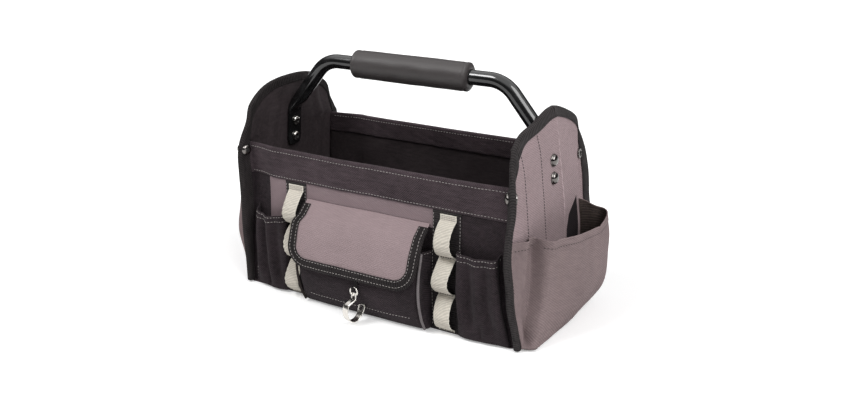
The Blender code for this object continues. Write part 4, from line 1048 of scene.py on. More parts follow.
def wall_station(k, z):
    """Middle of a wall's fabric, seen from above, at station k of its right half, with its outward side.

    Stations 0 to 2 are the flat wall, then comes the bend, and the last two run out along the fin.
    """
    end = end_x(z) - FABRIC - GAP - TAPE - GAP - FABRIC / 2
    wall = BODY_DEPTH / 2 - FABRIC / 2
    if k <= 2:
        return Vector(((end - WALL_BEND) * k / 2, wall)), Vector((0, 1))
    if k <= 2 + BEND_STEPS:
        angle = math.pi / 2 * (k - 2) / BEND_STEPS
        out = Vector((-math.sin(angle), math.cos(angle)))
        return Vector((end - WALL_BEND, wall + WALL_BEND)) - out * WALL_BEND, out
    tip = arch_half(z) - FIN_SETBACK
    return Vector((end, blend(wall + WALL_BEND, tip, (k - 2 - BEND_STEPS) / 2))), Vector((-1, 0))


def wall_place(k, z, front, flat_lift, fin_lift):
    """Point of a wall layer at station k, lifted outward from the wall's middle."""
    spot, out = wall_station(abs(k), z)
    lift = blend(flat_lift, fin_lift, within((abs(k) - 2) / BEND_STEPS))
    spot = spot + out * lift
    return sag(Vector((math.copysign(spot.x, k), front * spot.y, z)))


FIN_KS = spaced(2, 5, 8)[:-1] + spaced(5, 7, 5)
WALL_KS = [-k for k in FIN_KS[::-1]] + spaced(-2, 2, 90)[1:-1] + FIN_KS


def add_walls():
    """Front and rear walls with their linings, hem bands and seams."""
    wall_top = WALL_HEIGHT - GAP - TAPE
    outer = FABRIC / 2 + GAP + TAPE / 2
    inner_flat = -(FABRIC / 2 + GAP + LINING + GAP + TAPE / 2)
    middle = (outer + inner_flat) / 2
    fold = TAPE / 2 + GAP
    low = WALL_HEIGHT - BAND_HEIGHT
    lining_out = BODY_DEPTH / 2 - FABRIC - GAP - LINING / 2
    band = [(1, z) for z in spaced(low, wall_top, 18)]
    band += [(math.cos(angle), wall_top + fold * math.sin(angle)) for angle in spaced(0, math.pi, 8)[1:-1]]
    band += [(-1, z) for z in spaced(wall_top, WALL_HEIGHT - BAND_INSIDE, 14)]

    # Faces beyond the black sides take the darker black. So does the low patch right of the flap pocket, as
    # painted shade under the flap's overhang.
    def is_black_or_shaded(k, z, side):
        x = k * wall_station(2, z)[0].x / 2
        return not BLACK_SIDES[0] < x < BLACK_SIDES[1] or (z < SHADED_FOOT_TOP and x > SHADED_FOOT_START)

    for end, front in FRONT_REAR:
        # The front wall takes darker copies of the twill and of the black cloth, which are painted shade
        sheet(f"{end}_wall_cloth", WALL_KS, spaced(FLOOR_TOP, wall_top, 64),
              lambda k, z: wall_place(k, z, front, 0, 0), FABRIC,
              "wall_twill" if front < 0 else "black_fabric", (f"{end}_panel",), "bag",
              "shaded_black" if front < 0 else "black_fabric", is_black_or_shaded)

        def band_at(k, share, z):
            flat = middle + share * (outer - middle)
            swell = 0.0005 * abs(math.sin(k * 9.0 + z * 260)) if abs(share) == 1 else 0.0
            return wall_place(k, z, front, flat + share * swell, share * (outer + swell))

        sheet(f"{end}_band_cloth", WALL_KS, range(len(band)), lambda k, j: band_at(k, *band[j]), TAPE,
              "black_fabric", (f"{end}_top_band",))

        def lining_place(u, z):
            x = (wall_station(2, z)[0].x + 0.0026) * u
            p = Vector((x, front * lining_out, z))
            ripple = max(math.sin(x / 0.013 + 1.8 * wander(p, 0.07, 11.0)), 0.0) ** 2
            room = smooth((1 - abs(u)) / 0.1) * smooth((0.176 - z) / 0.03) * smooth((z - 0.01) / 0.03)
            p.y -= front * 0.0016 * ripple * room
            return sag(p)

        sheet(f"{end}_lining_cloth", spaced(-1, 1, 130), spaced(FLOOR_TOP, wall_top, 50), lining_place,
              LINING, "lining", (f"{end}_lining",))

        seams = []
        for z in (WALL_HEIGHT - SEAM_DROP, low + SEAM_RISE):
            ks = spaced(-SEAM_REACH, SEAM_REACH, 260)
            outs = []
            for k in ks:
                out = wall_station(abs(k), z)[1]
                outs.append(Vector((math.copysign(out.x, k) if out.x else 0, front * out.y, 0)))
            spots = [band_at(k, 1, z) + out * (TAPE / 2 + 0.0001) for k, out in zip(ks, outs)]
            seams.append(run_stitches(spots, outs))
        inside = Vector((0, -front, 0))
        seams.append(straight_row([band_at(k, -1, WALL_HEIGHT - SEAM_DROP) + inside * TAPE / 2
                                   for k in spaced(-INNER_SEAM_REACH, INNER_SEAM_REACH, 200)], inside))
        stitches(f"{end}_band_seams", seams)


def close_at_ends(margin, count):
    """Values from -1 to 1, closer together in a margin at both ends."""
    inner = 1 - margin
    return spaced(-1, -inner, 8)[:-1] + spaced(-inner, inner, count) + spaced(inner, 1, 8)[1:]


def add_base():
    """Fabric floor under the bag and the board that lies on it."""
    half = BASE_LENGTH / 2
    deep = BODY_DEPTH / 2

    def place(u, v):
        x, y = u * half, v * deep
        over_x, over_y = abs(x) - (half - BASE_CORNER), abs(y) - (deep - BASE_CORNER)
        if over_x > 0 and over_y > 0:
            shrink = max(over_x, over_y) / math.hypot(over_x, over_y)
            x = math.copysign(half - BASE_CORNER + over_x * shrink, x)
            y = math.copysign(deep - BASE_CORNER + over_y * shrink, y)
        return Vector((x, y, BASE_FABRIC / 2))

    sheet("base_cloth", close_at_ends(0.046, 40), close_at_ends(0.093, 24), place, BASE_FABRIC - 0.0001,
          "black_fabric", ("base_panel",))
    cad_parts["base_board"].data.materials.clear()
    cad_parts["base_board"].data.materials.append(LOOKS["board"])


# Front features

def front_place(x, out, z):
    """Point a distance in front of the front wall."""
    return Vector((x, -(BODY_DEPTH / 2 + out), z))


def add_strips():
    """Light loop strips on black backing tapes."""
    backing = GAP + TAPE / 2
    flat = GAP + TAPE + GAP + TAPE / 2
    loops_top = STRIP_TOP - SEWN_TOP
    pitch = (loops_top - STRIP_FOOT) / LOOP_COUNT
    top = STRIP_TOP + 0.0036
    for hand, side in LEFT_RIGHT:
        route = [(flat, z) for z in spaced(STRIP_TOP, loops_top, 5)]
        for loop, fullness in enumerate(LOOP_FULLNESS):
            start = loops_top - loop * pitch
            low = start - pitch + SEWN_BETWEEN
            for share in spaced(0, 1, 30)[1:]:
                swell = math.sin(math.pi * min(share, 0.9999) ** 1.2) ** 0.68
                route.append((flat + LOOP_BULGE * fullness * swell, blend(start, low, share)))
            route += [(flat, z) for z in spaced(low, start - pitch, 3)[1:]]

        def strip_place(u, j):
            out, z = part_way(route, j)
            bulge = (out - flat) / LOOP_BULGE
            width = STRIP_WIDTH * (1 - 0.05 * bulge)
            lean = side * 0.0015 * bulge * math.sin(z * 70)
            cup = 0.0012 * bulge * (1 - u * u)
            crease = 0.0007 * bulge * math.sin(z * 900 - u * 2.4 + side) * (0.6 + 0.4 * u * side)
            out += cup + crease - 0.0012 * bulge
            return sag(front_place(side * STRIP_CENTRE + u * width / 2 + lean, out, z))

        sheet(f"{hand}_strip_webbing", spaced(-1, 1, 12), range(len(route)), strip_place, TAPE,
              "webbing_light", (f"{hand}_loop_strip",))
        edges = BACKING_EDGES[side > 0]

        def backing_place(u, z):
            return sag(front_place(blend(*edges, (u + 1) / 2), backing, z))

        sheet(f"{hand}_backing_tape", spaced(-1, 1, 8), spaced(FLOOR_TOP, top, 60), backing_place, TAPE,
              "webbing_black", (f"{hand}_loop_backing",))

        def bar(z):
            half = STRIP_WIDTH / 2 - 0.001
            return straight_row([sag(front_place(side * STRIP_CENTRE + x, flat + TAPE / 2, z))
                                 for x in spaced(-half, half, 12)], FORWARD, 0.0034, 0.0028)

        stitches(f"{hand}_strip_seams", [bar(STRIP_TOP - drop) for drop in (0.0016, 0.0040, 0.0064)])
        stitches(f"{hand}_waist_seams", [bar(loops_top - (loop + 1) * pitch + SEWN_BETWEEN / 2)
                                         for loop in range(LOOP_COUNT)], look="dark_thread", radius=0.0007)
        stitches(f"{hand}_backing_seams",
                 [straight_row([sag(front_place(x, backing + TAPE / 2, z))
                                for z in spaced(0.006, top - 0.002, 60)], FORWARD)
                  for x in (edges[0] + 0.0013, edges[1] - 0.0013)])


def bow(share, half, depth, squareness):
    """Place (across, out) on a pocket's bulged mouth line, for a share from -1 to 1."""
    angle = share * math.pi / 2
    across = math.copysign(abs(math.sin(angle)) ** (2 / squareness), share) * half
    return across, max(math.cos(angle), 0) ** (2 / squareness) * depth


BOW_STEPS = 400


@functools.lru_cache(maxsize=None)
def bow_lengths(half, depth, squareness):
    """Points of a bow from its middle to its end, and the share of its length at each."""
    points = []
    for raw in spaced(0, 1, BOW_STEPS):
        points.append(bow(raw ** (squareness / 2) if raw < 0.5 else raw, half, depth, squareness))
    points.sort()
    lengths = running(points)
    return points, [length / lengths[-1] for length in lengths]


def even_bow(q, half, depth, squareness):
    """Place (across, out) at a share q of the bow's length, from -1 to 1."""
    points, lengths = bow_lengths(half, round(depth, 5), squareness)
    wanted = min(abs(q), 1.0)
    k = int(within(np.searchsorted(lengths, wanted), 1, len(lengths) - 1))
    share = (wanted - lengths[k - 1]) / max(lengths[k] - lengths[k - 1], 1e-9)
    across, out = part_way(points[k - 1:k + 1], share)
    return math.copysign(across, q), out


def bow_outline(half, depth, squareness, shares):
    """Outline (across, out) of a bulged pocket for q across and w up it, seen from above."""
    return lambda q, w: even_bow(q, half, depth * curve_through(shares, w), squareness)


def pocket_surface(outline, height, place, fold, rim):
    """Surface of a bulged pocket, for q across and w from 0 at its foot to 1 at its mouth.

    fold(q, w) moves the cloth outward, rim(q) raises the mouth, and w below 0 is the floor.
    """
    step = 0.002

    def at(q, w):
        if w < 0:
            across, out = outline(q, 0.0)
            flat = math.copysign(max(abs(across) - POCKET_FLOOR_INSET, 0.0), across)
            return sag(place(blend(across, flat, -w), GAP + blend(out, FABRIC / 2, -w), POCKET_FOOT))
        level = within(w)
        if abs(q) + step > 1:
            normal = Vector((math.copysign(1, q), 0))
        else:
            run = heading((outline(q - step, level), outline(q + step, level)), 0)
            normal = Vector((-run.y, run.x))
        shift = fold(q, w) * smooth((1 - abs(q)) / 0.06) * smooth(w / 0.08)
        spot = Vector(outline(q, level)) + normal * shift
        return sag(place(spot.x, GAP + max(spot.y, FABRIC / 2), max(POCKET_FOOT, w * (height + rim(q)))))
    return at


WS = [-1, -0.66, -0.33, -0.02] + spaced(0, 1, 60)


def mouth_seams(at, height, drops, toward, reach=0.985, count=150):
    """Rows of stitches below a pocket's mouth."""
    return [seam(at, [(q, 1 - drop / height) for q in spaced(-reach, reach, count)], toward)
            for drop in drops]


def pocket_depth(z):
    """Depth of the flap pocket's front, measured to the middle of its fabric."""
    return POCKET_DEPTH * curve_through(POCKET_DEPTH_SHARES, z / POCKET_HEIGHT)


def flap_route():
    """Points (out, z) down the middle of the flap, from its hinge line to its lower edge."""
    standoff = GAP + FABRIC + 2 * PATCH + 3 * GAP
    mouth = pocket_depth(POCKET_HEIGHT) + standoff
    route = []
    for share in spaced(0, 1, 16)[:-1]:
        drop = max(share ** FLAP_SHOULDER_SKEW, FLAP_START * share)
        route.append((blend(FABRIC / 2 + GAP, mouth, share), blend(FLAP_HINGE_HEIGHT, POCKET_HEIGHT, drop)))
    return route + [(pocket_depth(z) + standoff, z) for z in spaced(POCKET_HEIGHT, FLAP_END, 26)]


def flap_frames():
    """Flap route with the direction out of its face and the length still to go to its lower edge."""
    route = [Vector(point) for point in flap_route()]
    left = running(route[::-1])[::-1]
    runs = [heading(route, k) for k in range(len(route))]
    return [(here, Vector((-run.y, run.x)), to_go) for here, run, to_go in zip(route, runs, left)]


FRAMES = flap_frames()


def flap_half(to_go):
    """Half width of the flap, a length above its lower edge."""
    drop = within(FLAP_CORNER - to_go, 0, FLAP_CORNER)
    return FLAP_HALF - FLAP_CORNER + math.sqrt(FLAP_CORNER ** 2 - drop ** 2)


def flap_spot(x, to_go, lift):
    """Point of the flap at x, a length above its lower edge, lifted off the middle of its fabric."""
    for (here, out, left), (after, after_out, after_left) in zip(FRAMES, FRAMES[1:]):
        if to_go >= after_left:
            break
    share = (left - to_go) / (left - after_left)
    facing_out = out.lerp(after_out, share).normalized()
    spot = here.lerp(after, share) + facing_out * lift
    above = to_go - FRAMES[0][2]
    hanging = smooth(-(above + FLAP_HINGE_REACH) / FLAP_CORNER)
    spot.x -= FLAP_EDGE_DROP * hanging * abs(x / FLAP_HALF) ** FLAP_DROOP_POWER
    crease = 0.0011 * hanging * (wander((x, to_go * 1.4, 0), 0.030, 4.0) + 0.35)
    pillow = 0.0016 * hanging * (1 - min(abs(x / FLAP_HALF), 1.0) ** 4)
    spot += facing_out * (crease + pillow)
    if x < 0:
        x += FLAP_TAPER * smooth((above + FLAP_TAPER_REACH) / FLAP_TAPER_RUN) * abs(x) / FLAP_HALF
    return sag(front_place(FLAP_CENTRE + x, spot.x, spot.y))


def add_flap_pocket():
    """Bellows pocket, its piping, the hinged flap with its border, and the closure patches."""
    def place(across, out, z):
        return front_place(POCKET_CENTRE + across, out, z)

    def fold(q, w):
        side_fold = -0.0045 * hump(abs(q), 0.86, 0.07) * smooth((w - 0.1) / 0.3)
        slack = 0.0010 * wander((q * 0.12, w * 0.11, 0), 0.028, 2.0)
        return side_fold + slack

    at = pocket_surface(bow_outline(POCKET_HALF, POCKET_DEPTH, POCKET_SQUARENESS, POCKET_DEPTH_SHARES),
                        POCKET_HEIGHT, place, fold, lambda q: 0.0)
    # The pocket's black cloth is the darker copy, which is painted shade
    sheet("flap_pocket_cloth", spaced(-1, 1, 150), WS, at, FABRIC, "shaded_black", ("flap_pocket",))
    clear = FABRIC / 2 + GAP + PIPING_RADIUS
    for hand, side in LEFT_RIGHT:
        points = []
        for w in spaced(0, 1, 40):
            z = max(POCKET_FOOT, w * POCKET_HEIGHT)
            line = [bow(side * share, POCKET_HALF, pocket_depth(z), POCKET_SQUARENESS)
                    for share in PIPING_SHARES]
            run = heading(line, 1)
            spot = Vector(line[1]) + Vector((-run.y, run.x)) * side * clear
            points.append(sag(place(spot.x, GAP + spot.y, z)))
        # The left piping takes the dark copy, which is painted shade
        wire(f"{hand}_piping_cord", points, PIPING_RADIUS, "piping" if side > 0 else "piping_shade",
             (f"{hand}_pocket_piping",))
    seams = mouth_seams(at, POCKET_HEIGHT, (0.0030,), FORWARD)
    seams.append(seam(at, [(q, 0.18) for q in spaced(-0.69, 0.69, 120)], FORWARD))
    stitches("flap_pocket_seams", seams)

    # The flap takes the slightly darker copy of the twill, which is painted shade
    sheet("flap_cloth", spaced(-1, 1, 90), [left for here, out, left in FRAMES[:-1]] + [0.0004],
          lambda u, left: flap_spot(u * flap_half(left), left, 0), FABRIC, "flap_twill",
          ("pocket_flap",), "flap")
    add_flap_border()
    outer = GAP + FABRIC / 2 + GAP + PATCH / 2
    for name, node, lift, body in (("loop_patch_nap", "pocket_loop_patch", 0.0, "bag"),
                                   ("hook_patch_nap", "flap_hook_patch", PATCH + GAP, "flap")):
        sheet(name, spaced(-PATCH_HALF, PATCH_HALF, 40), spaced(*PATCH_SPAN, 16),
              lambda x, z: sag(front_place(x, pocket_depth(z) + outer + lift, z)), PATCH, "patch",
              (node,), body)


def add_flap_border():
    """Ribbed tape on the flap's face along its sides and round its lower corners, folded over the edge."""
    lift = FABRIC / 2 + GAP + TAPE / 2
    middle = FLAP_HALF - FLAP_CORNER
    face, turn, back = 7, 8, 4
    # Along the flap's edge: x, the length above the lower edge, and the direction inward in both
    path = [(-flap_half(left), left, 1, 0) for left in spaced(FRAMES[3][2], FLAP_CORNER, 40)[:-1]]
    for angle in spaced(0, math.pi / 2, 22):
        across, up = math.cos(angle), math.sin(angle)
        path.append((-middle - FLAP_CORNER * across, FLAP_CORNER * (1 - up), across, up))
    path += [(x, 0, 0, 1) for x in spaced(-middle, 0, 36)[1:]]
    path += [(-x, length, -across, up) for x, length, across, up in path[-2::-1]]

    def place(i, j):
        x, length, across, up = part_way(path, i)
        on_face, behind, angle = folded(j, face, turn, back)
        width = FLAP_BORDER_WIDTH * (on_face + 0.7 * behind) - lift * math.sin(angle)
        off = lift * math.cos(angle)
        x, length = x + across * width, length + up * width
        if length < 0:
            base = flap_spot(x, 0, off)
            return base - (base - flap_spot(x, 0.002, off)).normalized() * length
        return flap_spot(x, length, off)

    sheet("flap_border_tape", range(len(path)), range(face + turn + back + 1), place, TAPE, "border_tape",
          ("flap_border",), "flap")
    seams = []
    for j in (face * 0.17, face * 0.80):
        spots = [place(k, j) for k in range(1, len(path) - 1)]
        outs = []
        for k, spot in enumerate(spots):
            out = heading(spots, k).cross(place(k + 1, j - 0.5) - spot).normalized()
            if out.y > 0:
                out.negate()
            outs.append(out)
        seams.append(run_stitches([spot + out * (TAPE / 2) for spot, out in zip(spots, outs)], outs))
    stitches("flap_border_seams", seams, "flap")


EVEN_POINTS = 200


@functools.lru_cache(maxsize=None)
def even_line(points):
    """Evenly spaced points on a smooth line through some points."""
    line = []
    for k in range(len(points) - 1):
        before, start = points[max(k - 1, 0)], points[k]
        end, after = points[k + 1], points[min(k + 2, len(points) - 1)]
        for t in spaced(0, 1, 16)[:-1]:
            line.append(tuple(((2 * b) + (c - a) * t + (2 * a - 5 * b + 4 * c - d) * t * t
                               + (3 * b - a - 3 * c + d) * t ** 3) / 2
                              for a, b, c, d in zip(before, start, end, after)))
    line.append(points[-1])
    lengths = running(line)
    wanted = np.linspace(0, lengths[-1], EVEN_POINTS)
    return np.stack([np.interp(wanted, lengths, [point[axis] for point in line]) for axis in (0, 1)], axis=1)


def side_outline(side, q, w):
    """Outline (across, out) of a side pocket for q across and w up it, seen from above."""
    place = (within(q, -1.0) + 1) / 2 * (EVEN_POINTS - 1)
    foot, mouth = (part_way(even_line(points), place) for points in (SIDE_FOOT, SIDE_MOUTH))
    across, out = (blend(low, high, curve_through(SIDE_FILL, w)) for low, high in zip(foot, mouth))
    if side < 0:
        out -= LEFT_SLIM * hump(q, -0.78, 0.30) * smooth((0.32 - w) / 0.32)
    return float(across), float(max(out, 0.0))


def add_corner_pocket(hand, side):
    """Black pleated pocket at a front corner, with its hem."""
    left, middle, right = CORNER_RIMS[hand]

    def place(across, out, z):
        return front_place(side * CORNER_CENTRE + across, out, z)

    def fold(q, w):
        pleat = -0.0045 * hump(q, -0.05 + 0.35 * w, 0.10) * smooth((0.55 - w) / 0.5)
        folds = 0.0042 * math.sin(q * 9.5 + side + 1.2 * w) * smooth(w / 0.35) * smooth((1.25 - w) / 0.6)
        slack = 0.0012 * wander((q * 0.06, w * 0.11, side * 0.3), 0.022, 5.0)
        return pleat + folds + slack + 0.0008 * smooth((w - 0.90) / 0.03)

    def rim(q):
        return middle + (right - left) / 2 * q + ((left + right) / 2 - middle) * q * q

    at = pocket_surface(bow_outline(CORNER_HALF, CORNER_DEPTH, CORNER_SQUARENESS, CORNER_DEPTH_SHARES),
                        CORNER_HEIGHT, place, fold, rim)
    # The corner pocket's black cloth is the darker copy, which is painted shade
    sheet(f"{hand}_corner_cloth", spaced(-1, 1, 72), WS, at, FABRIC, "shaded_black",
          (f"{hand}_corner_pocket",))
    seams = mouth_seams(at, CORNER_HEIGHT, (0.0024, 0.0085), FORWARD, 0.95, 70)
    seams += [seam(at, [(q, w) for w in spaced(0.05, 0.97, 60)], FORWARD) for q in (-0.93, 0.93)]
    stitches(f"{hand}_corner_seams", seams)


def add_side_pocket(hand, side):
    """Grey pocket on an end, with its hem."""
    def place(across, out, z):
        return end_place(side, across, z, -out)

    def fold(q, w):
        valley = -0.0120 * hump(q, blend(-0.88, -0.74, w), 0.055) * smooth(w / 0.10)
        ridge = 0.0055 * hump(q, blend(-0.74, -0.60, w), 0.070) * smooth(w / 0.2)
        rear = -0.0020 * hump(q, blend(0.92, 0.82, w), 0.06) * smooth(w / 0.2)
        if side < 0:
            ridge += LEFT_SWELL * hump(q, -0.57, 0.22) * hump(w, 0.50, 0.28)
        slack = 0.0024 * wander((q * 0.14, w * 0.13, side), 0.040, 6.0)
        crinkle = 0.0013 * math.sin(q * 42) * hump(q, -0.68, 0.12) * smooth((w - 0.80) / 0.12)
        return valley + ridge + rear + slack + crinkle + 0.0009 * smooth((w - 0.925) / 0.012)

    def rim(q):
        return (0.0080 * smooth((0.20 - q) / 1.2) - 0.004 * hump(q, 0.25, 0.4)
                + 0.007 * smooth((q - 0.75) / 0.25))

    at = pocket_surface(functools.partial(side_outline, side), SIDE_HEIGHT, place, fold, rim)
    # The side pocket takes the darker copy of the twill as painted shade, and its inner face takes painted
    # shade too
    sheet(f"{hand}_side_cloth", spaced(-1, 1, 170), WS, at, FABRIC, "side_twill", (f"{hand}_side_pocket",),
          "bag", "twill_back", lambda q, w, face: face != side)
    stitches(f"{hand}_side_seams", mouth_seams(at, SIDE_HEIGHT, (0.0092,), (side, 0, 0), 0.97, 260),
             look="dark_thread", radius=0.0005)


def add_side_pockets():
    """Black pockets at the front corners and grey ones on the ends."""
    for hand, side in LEFT_RIGHT:
        add_corner_pocket(hand, side)
        add_side_pocket(hand, side)


def add_tool_strip():
    """Looped strip inside the front wall that keeps hand tools upright."""
    inside = BODY_DEPTH / 2 - WALL_STACK - GAP - TAPE / 2
    starts = spaced(-TOOL_STRIP_HALF, TOOL_STRIP_HALF, TOOL_LOOP_COUNT)
    route = []
    for start, end in zip(starts, starts[1:]):
        route += [(x, 0.0) for x in spaced(start, start + TOOL_SEWN, 3)]
        for share in spaced(0, 1, 22)[1:-1]:
            route.append((blend(start + TOOL_SEWN, end, share),
                          TOOL_LOOP_BULGE * math.sin(math.pi * share) ** 0.6))
    route += [(x, 0.0) for x in spaced(TOOL_STRIP_HALF, TOOL_STRIP_HALF + TOOL_SEWN, 3)]

    def place(j, z):
        x, bulge = route[j]
        return sag(Vector((x, -inside + bulge, z - 0.0010 * bulge / TOOL_LOOP_BULGE)))

    sheet("tool_strip_webbing", range(len(route)), spaced(TOOL_STRIP_LOW, TOOL_STRIP_HIGH, 12), place,
          TAPE, "tape_along", ("inner_tool_strip",))
    heights = spaced(TOOL_STRIP_LOW + 0.001, TOOL_STRIP_HIGH - 0.001, 12)
    rows = [[sag(Vector((start + TOOL_SEWN / 2, -inside + TAPE / 2, z))) for z in heights]
            for start in starts]
    stitches("tool_strip_seams", [straight_row(row, (0, 1, 0)) for row in rows])


# Handle

def bend(before, corner, after, radius, steps):
    """Round bend of that radius between two straight runs that meet at corner."""
    arriving = (corner - before).normalized()
    leaving = (after - corner).normalized()
    angle = arriving.angle(leaving)
    start = corner - arriving * radius * math.tan(angle / 2)
    out = (leaving - arriving * leaving.dot(arriving)).normalized()
    centre = start + out * radius
    return [centre - out * radius * math.cos(turn) + arriving * radius * math.sin(turn)
            for turn in spaced(0, angle, steps)]


def handle_route():
    """Middle of the handle tube in its own plane, from the right foot to the middle of the grip."""
    foot = Vector((end_x(LEG_FOOT_HEIGHT) - LEG_DEPTH, LEG_FOOT_HEIGHT))
    knee = Vector((end_x(LEG_BEND_HEIGHT) - LEG_DEPTH, LEG_BEND_HEIGHT))
    rise = HANDLE_HEIGHT - LEG_BEND_HEIGHT
    crown = knee + Vector((-rise / math.tan(HANDLE_SLOPE), rise))
    lower = bend(foot, knee, crown, LOWER_BEND_RADIUS, 18)
    upper = bend(knee, crown, Vector((0, HANDLE_HEIGHT)), UPPER_BEND_RADIUS, 22)
    straight = [foot.lerp(lower[0], share) for share in LEG_SHARES]
    slope = [lower[-1].lerp(upper[0], share) for share in spaced(0, 1, 8)[1:-1]]
    level = [Vector((x, HANDLE_HEIGHT)) for x in spaced(upper[-1].x, 0, 10)[1:]]
    return straight + lower + slope + upper + level


def add_handle():
    """Bent tube with its feet pressed flat against the ends, its foam grip, bolts, nuts and rivets."""
    lean = math.pi / 4 - HANDLE_SLOPE / 2
    flat_length = LEG_BEND_HEIGHT - LEG_FOOT_HEIGHT - LOWER_BEND_RADIUS * math.tan(lean)
    half = handle_route()
    route = [Vector((-p.x, p.y)) for p in half] + half[-2::-1]
    lengths = running(route)
    rings = []
    for k, here in enumerate(route):
        run = heading(route, k)
        from_end = min(lengths[k], lengths[-1] - lengths[k])
        share = smooth((from_end - flat_length) / FLAT_BLEND_LENGTH)
        half_wide = blend(LEG_WIDTH / 2, TUBE_RADIUS, share)
        half_thick = blend(LEG_THICKNESS / 2, TUBE_RADIUS, share)
        if from_end < LEG_END_ROUND:
            missing = 1 - from_end / LEG_END_ROUND
            half_wide -= LEG_END_ROUND / 2 * (1 - math.sqrt(max(1 - missing ** 2, 0)))
        squareness = blend(LEG_SQUARENESS, 2.0, share)
        ring = []
        for angle in turns(TUBE_SIDES):
            spot = here + Vector((run.y, -run.x)) * rounded(math.sin(angle), squareness) * half_thick
            ring.append(Vector((spot.x, rounded(math.cos(angle), squareness) * half_wide, spot.y)))
        rings.append(ring)
    tube("handle_tube_gloss", rings, "tube_paint", ("handle_tube",))
    add_grip()
    for hand, side in LEFT_RIGHT:
        for level, height in zip(("lower", "upper"), BOLT_HEIGHTS):
            add_bolt(f"{hand}_{level}", side, height)
        for end, front in FRONT_REAR:
            add_rivet(hand, side, end, front)


def add_grip():
    """Foam sleeve with rolled ends, worn a little on top."""
    def ring(x, radius, worn=False):
        made = []
        for angle in turns(GRIP_SIDES):
            up, across = math.cos(angle), math.sin(angle)
            reach = radius
            if worn:
                reach += 0.0004 * wander((x, up * 0.03, across * 0.03), 0.028, 8.0)
                reach -= 0.0005 * max(up, 0) ** 3
            made.append(Vector((x, reach * across, HANDLE_HEIGHT + reach * up)))
        return made

    half = GRIP_LENGTH / 2
    rings = []
    for x in spaced(-half, half, 90):
        from_end = half - abs(x)
        roll = 1 - smooth(from_end / 0.0055)
        neck = hump(from_end, 0.0085, 0.0022)
        rings.append(ring(x, GRIP_RADIUS - 0.0060 * roll ** 2 - 0.0006 * neck, True))
    rings += [ring(half, GRIP_LIP)] + [ring(x, GRIP_BORE) for x in spaced(half, -half, 4)]
    grip = tube("grip_foam", rings + [ring(-half, GRIP_LIP)], "foam", ("handle_grip",), cyclic=True)


def add_bolt(name, side, height):
    """Bolt through the handle's foot and an end, and its dome nut outside."""
    place = facing(end_place(side, 0, height, 0), (side, 0, -END_SLOPE))
    inner = -(END_STACK + GAP + LEG_THICKNESS + GAP)
    end = GAP + 0.0040
    rim = 0.0010
    core = 0.0030
    dome = arc(0, math.pi / 2, 8, BOLT_HEAD_RADIUS - core, inner - rim, core, rim - BOLT_HEAD_HEIGHT)
    turned(f"{name}_bolt_steel",
           [(0, end), (BOLT_RADIUS, end), (BOLT_RADIUS, inner), (BOLT_HEAD_RADIUS, inner)] + dome
           + [(core, inner - BOLT_HEAD_HEIGHT), (0.0026, inner - 0.0016), (0, inner - 0.0014)],
           place, "bright_steel", (f"{name}_handle_bolt",), core=0.0031)
    bore = BOLT_RADIUS + 0.0003
    low = GAP + 0.0013
    dome = arc(math.pi / 2, 0, 12, 0, low, NUT_RADIUS * 0.93, NUT_HEIGHT + GAP - low)
    turned(f"{name}_nut_dome",
           [(0, NUT_HEIGHT + GAP)] + dome[1:]
           + [(NUT_RADIUS, low - 0.0003), (NUT_RADIUS, GAP), (bore, GAP), (bore, end + GAP), (0, end + GAP)],
           place, "dark_nickel", (f"{name}_dome_nut",))


def add_rivet(hand, side, end, front):
    """Rivet through a fin, square to the fabric where it sits."""
    edge, height = RIVET_SPOTS[hand, end]

    def spot(across=0.0, up=0.0):
        return sag(end_place(side, front * (arch_half(height) - edge) + across, height + up, 0))

    level = spot(0.004) - spot(-0.004)
    rise = spot(0, 0.004) - spot(0, -0.004)
    axis = (level.cross(rise) * side).normalized()
    seat = 2 * GAP + TAPE
    inner = -(FIN_STACK * abs(axis.x) + seat)
    shank = 0.0025
    lip = 0.0006
    rim = 0.0008
    top = seat + RIVET_RING_HEIGHT - lip
    middle = (RIVET_DIMPLE_RADIUS + RIVET_RING_RADIUS) / 2
    swing = (RIVET_RING_RADIUS - RIVET_DIMPLE_RADIUS) / 2
    head = arc(0, math.pi / 2, 10, 0, inner - rim, RIVET_HEAD_RADIUS, rim - RIVET_HEAD_HEIGHT)
    turned(f"{hand}_{end}_rivet_steel",
           [(0, seat - 0.0004), (0.0024, seat - 0.0002), (RIVET_DIMPLE_RADIUS, top)]
           + arc(0, math.pi, 8, middle, top, -swing, lip)
           + [(RIVET_RING_RADIUS, seat), (shank, seat), (shank, inner), (RIVET_HEAD_RADIUS, inner)]
           + head[:-1] + [(0, head[-1][1])],
           facing(spot(), axis), "dark_nickel", (f"{hand}_{end}_rivet",), core=0.0036)


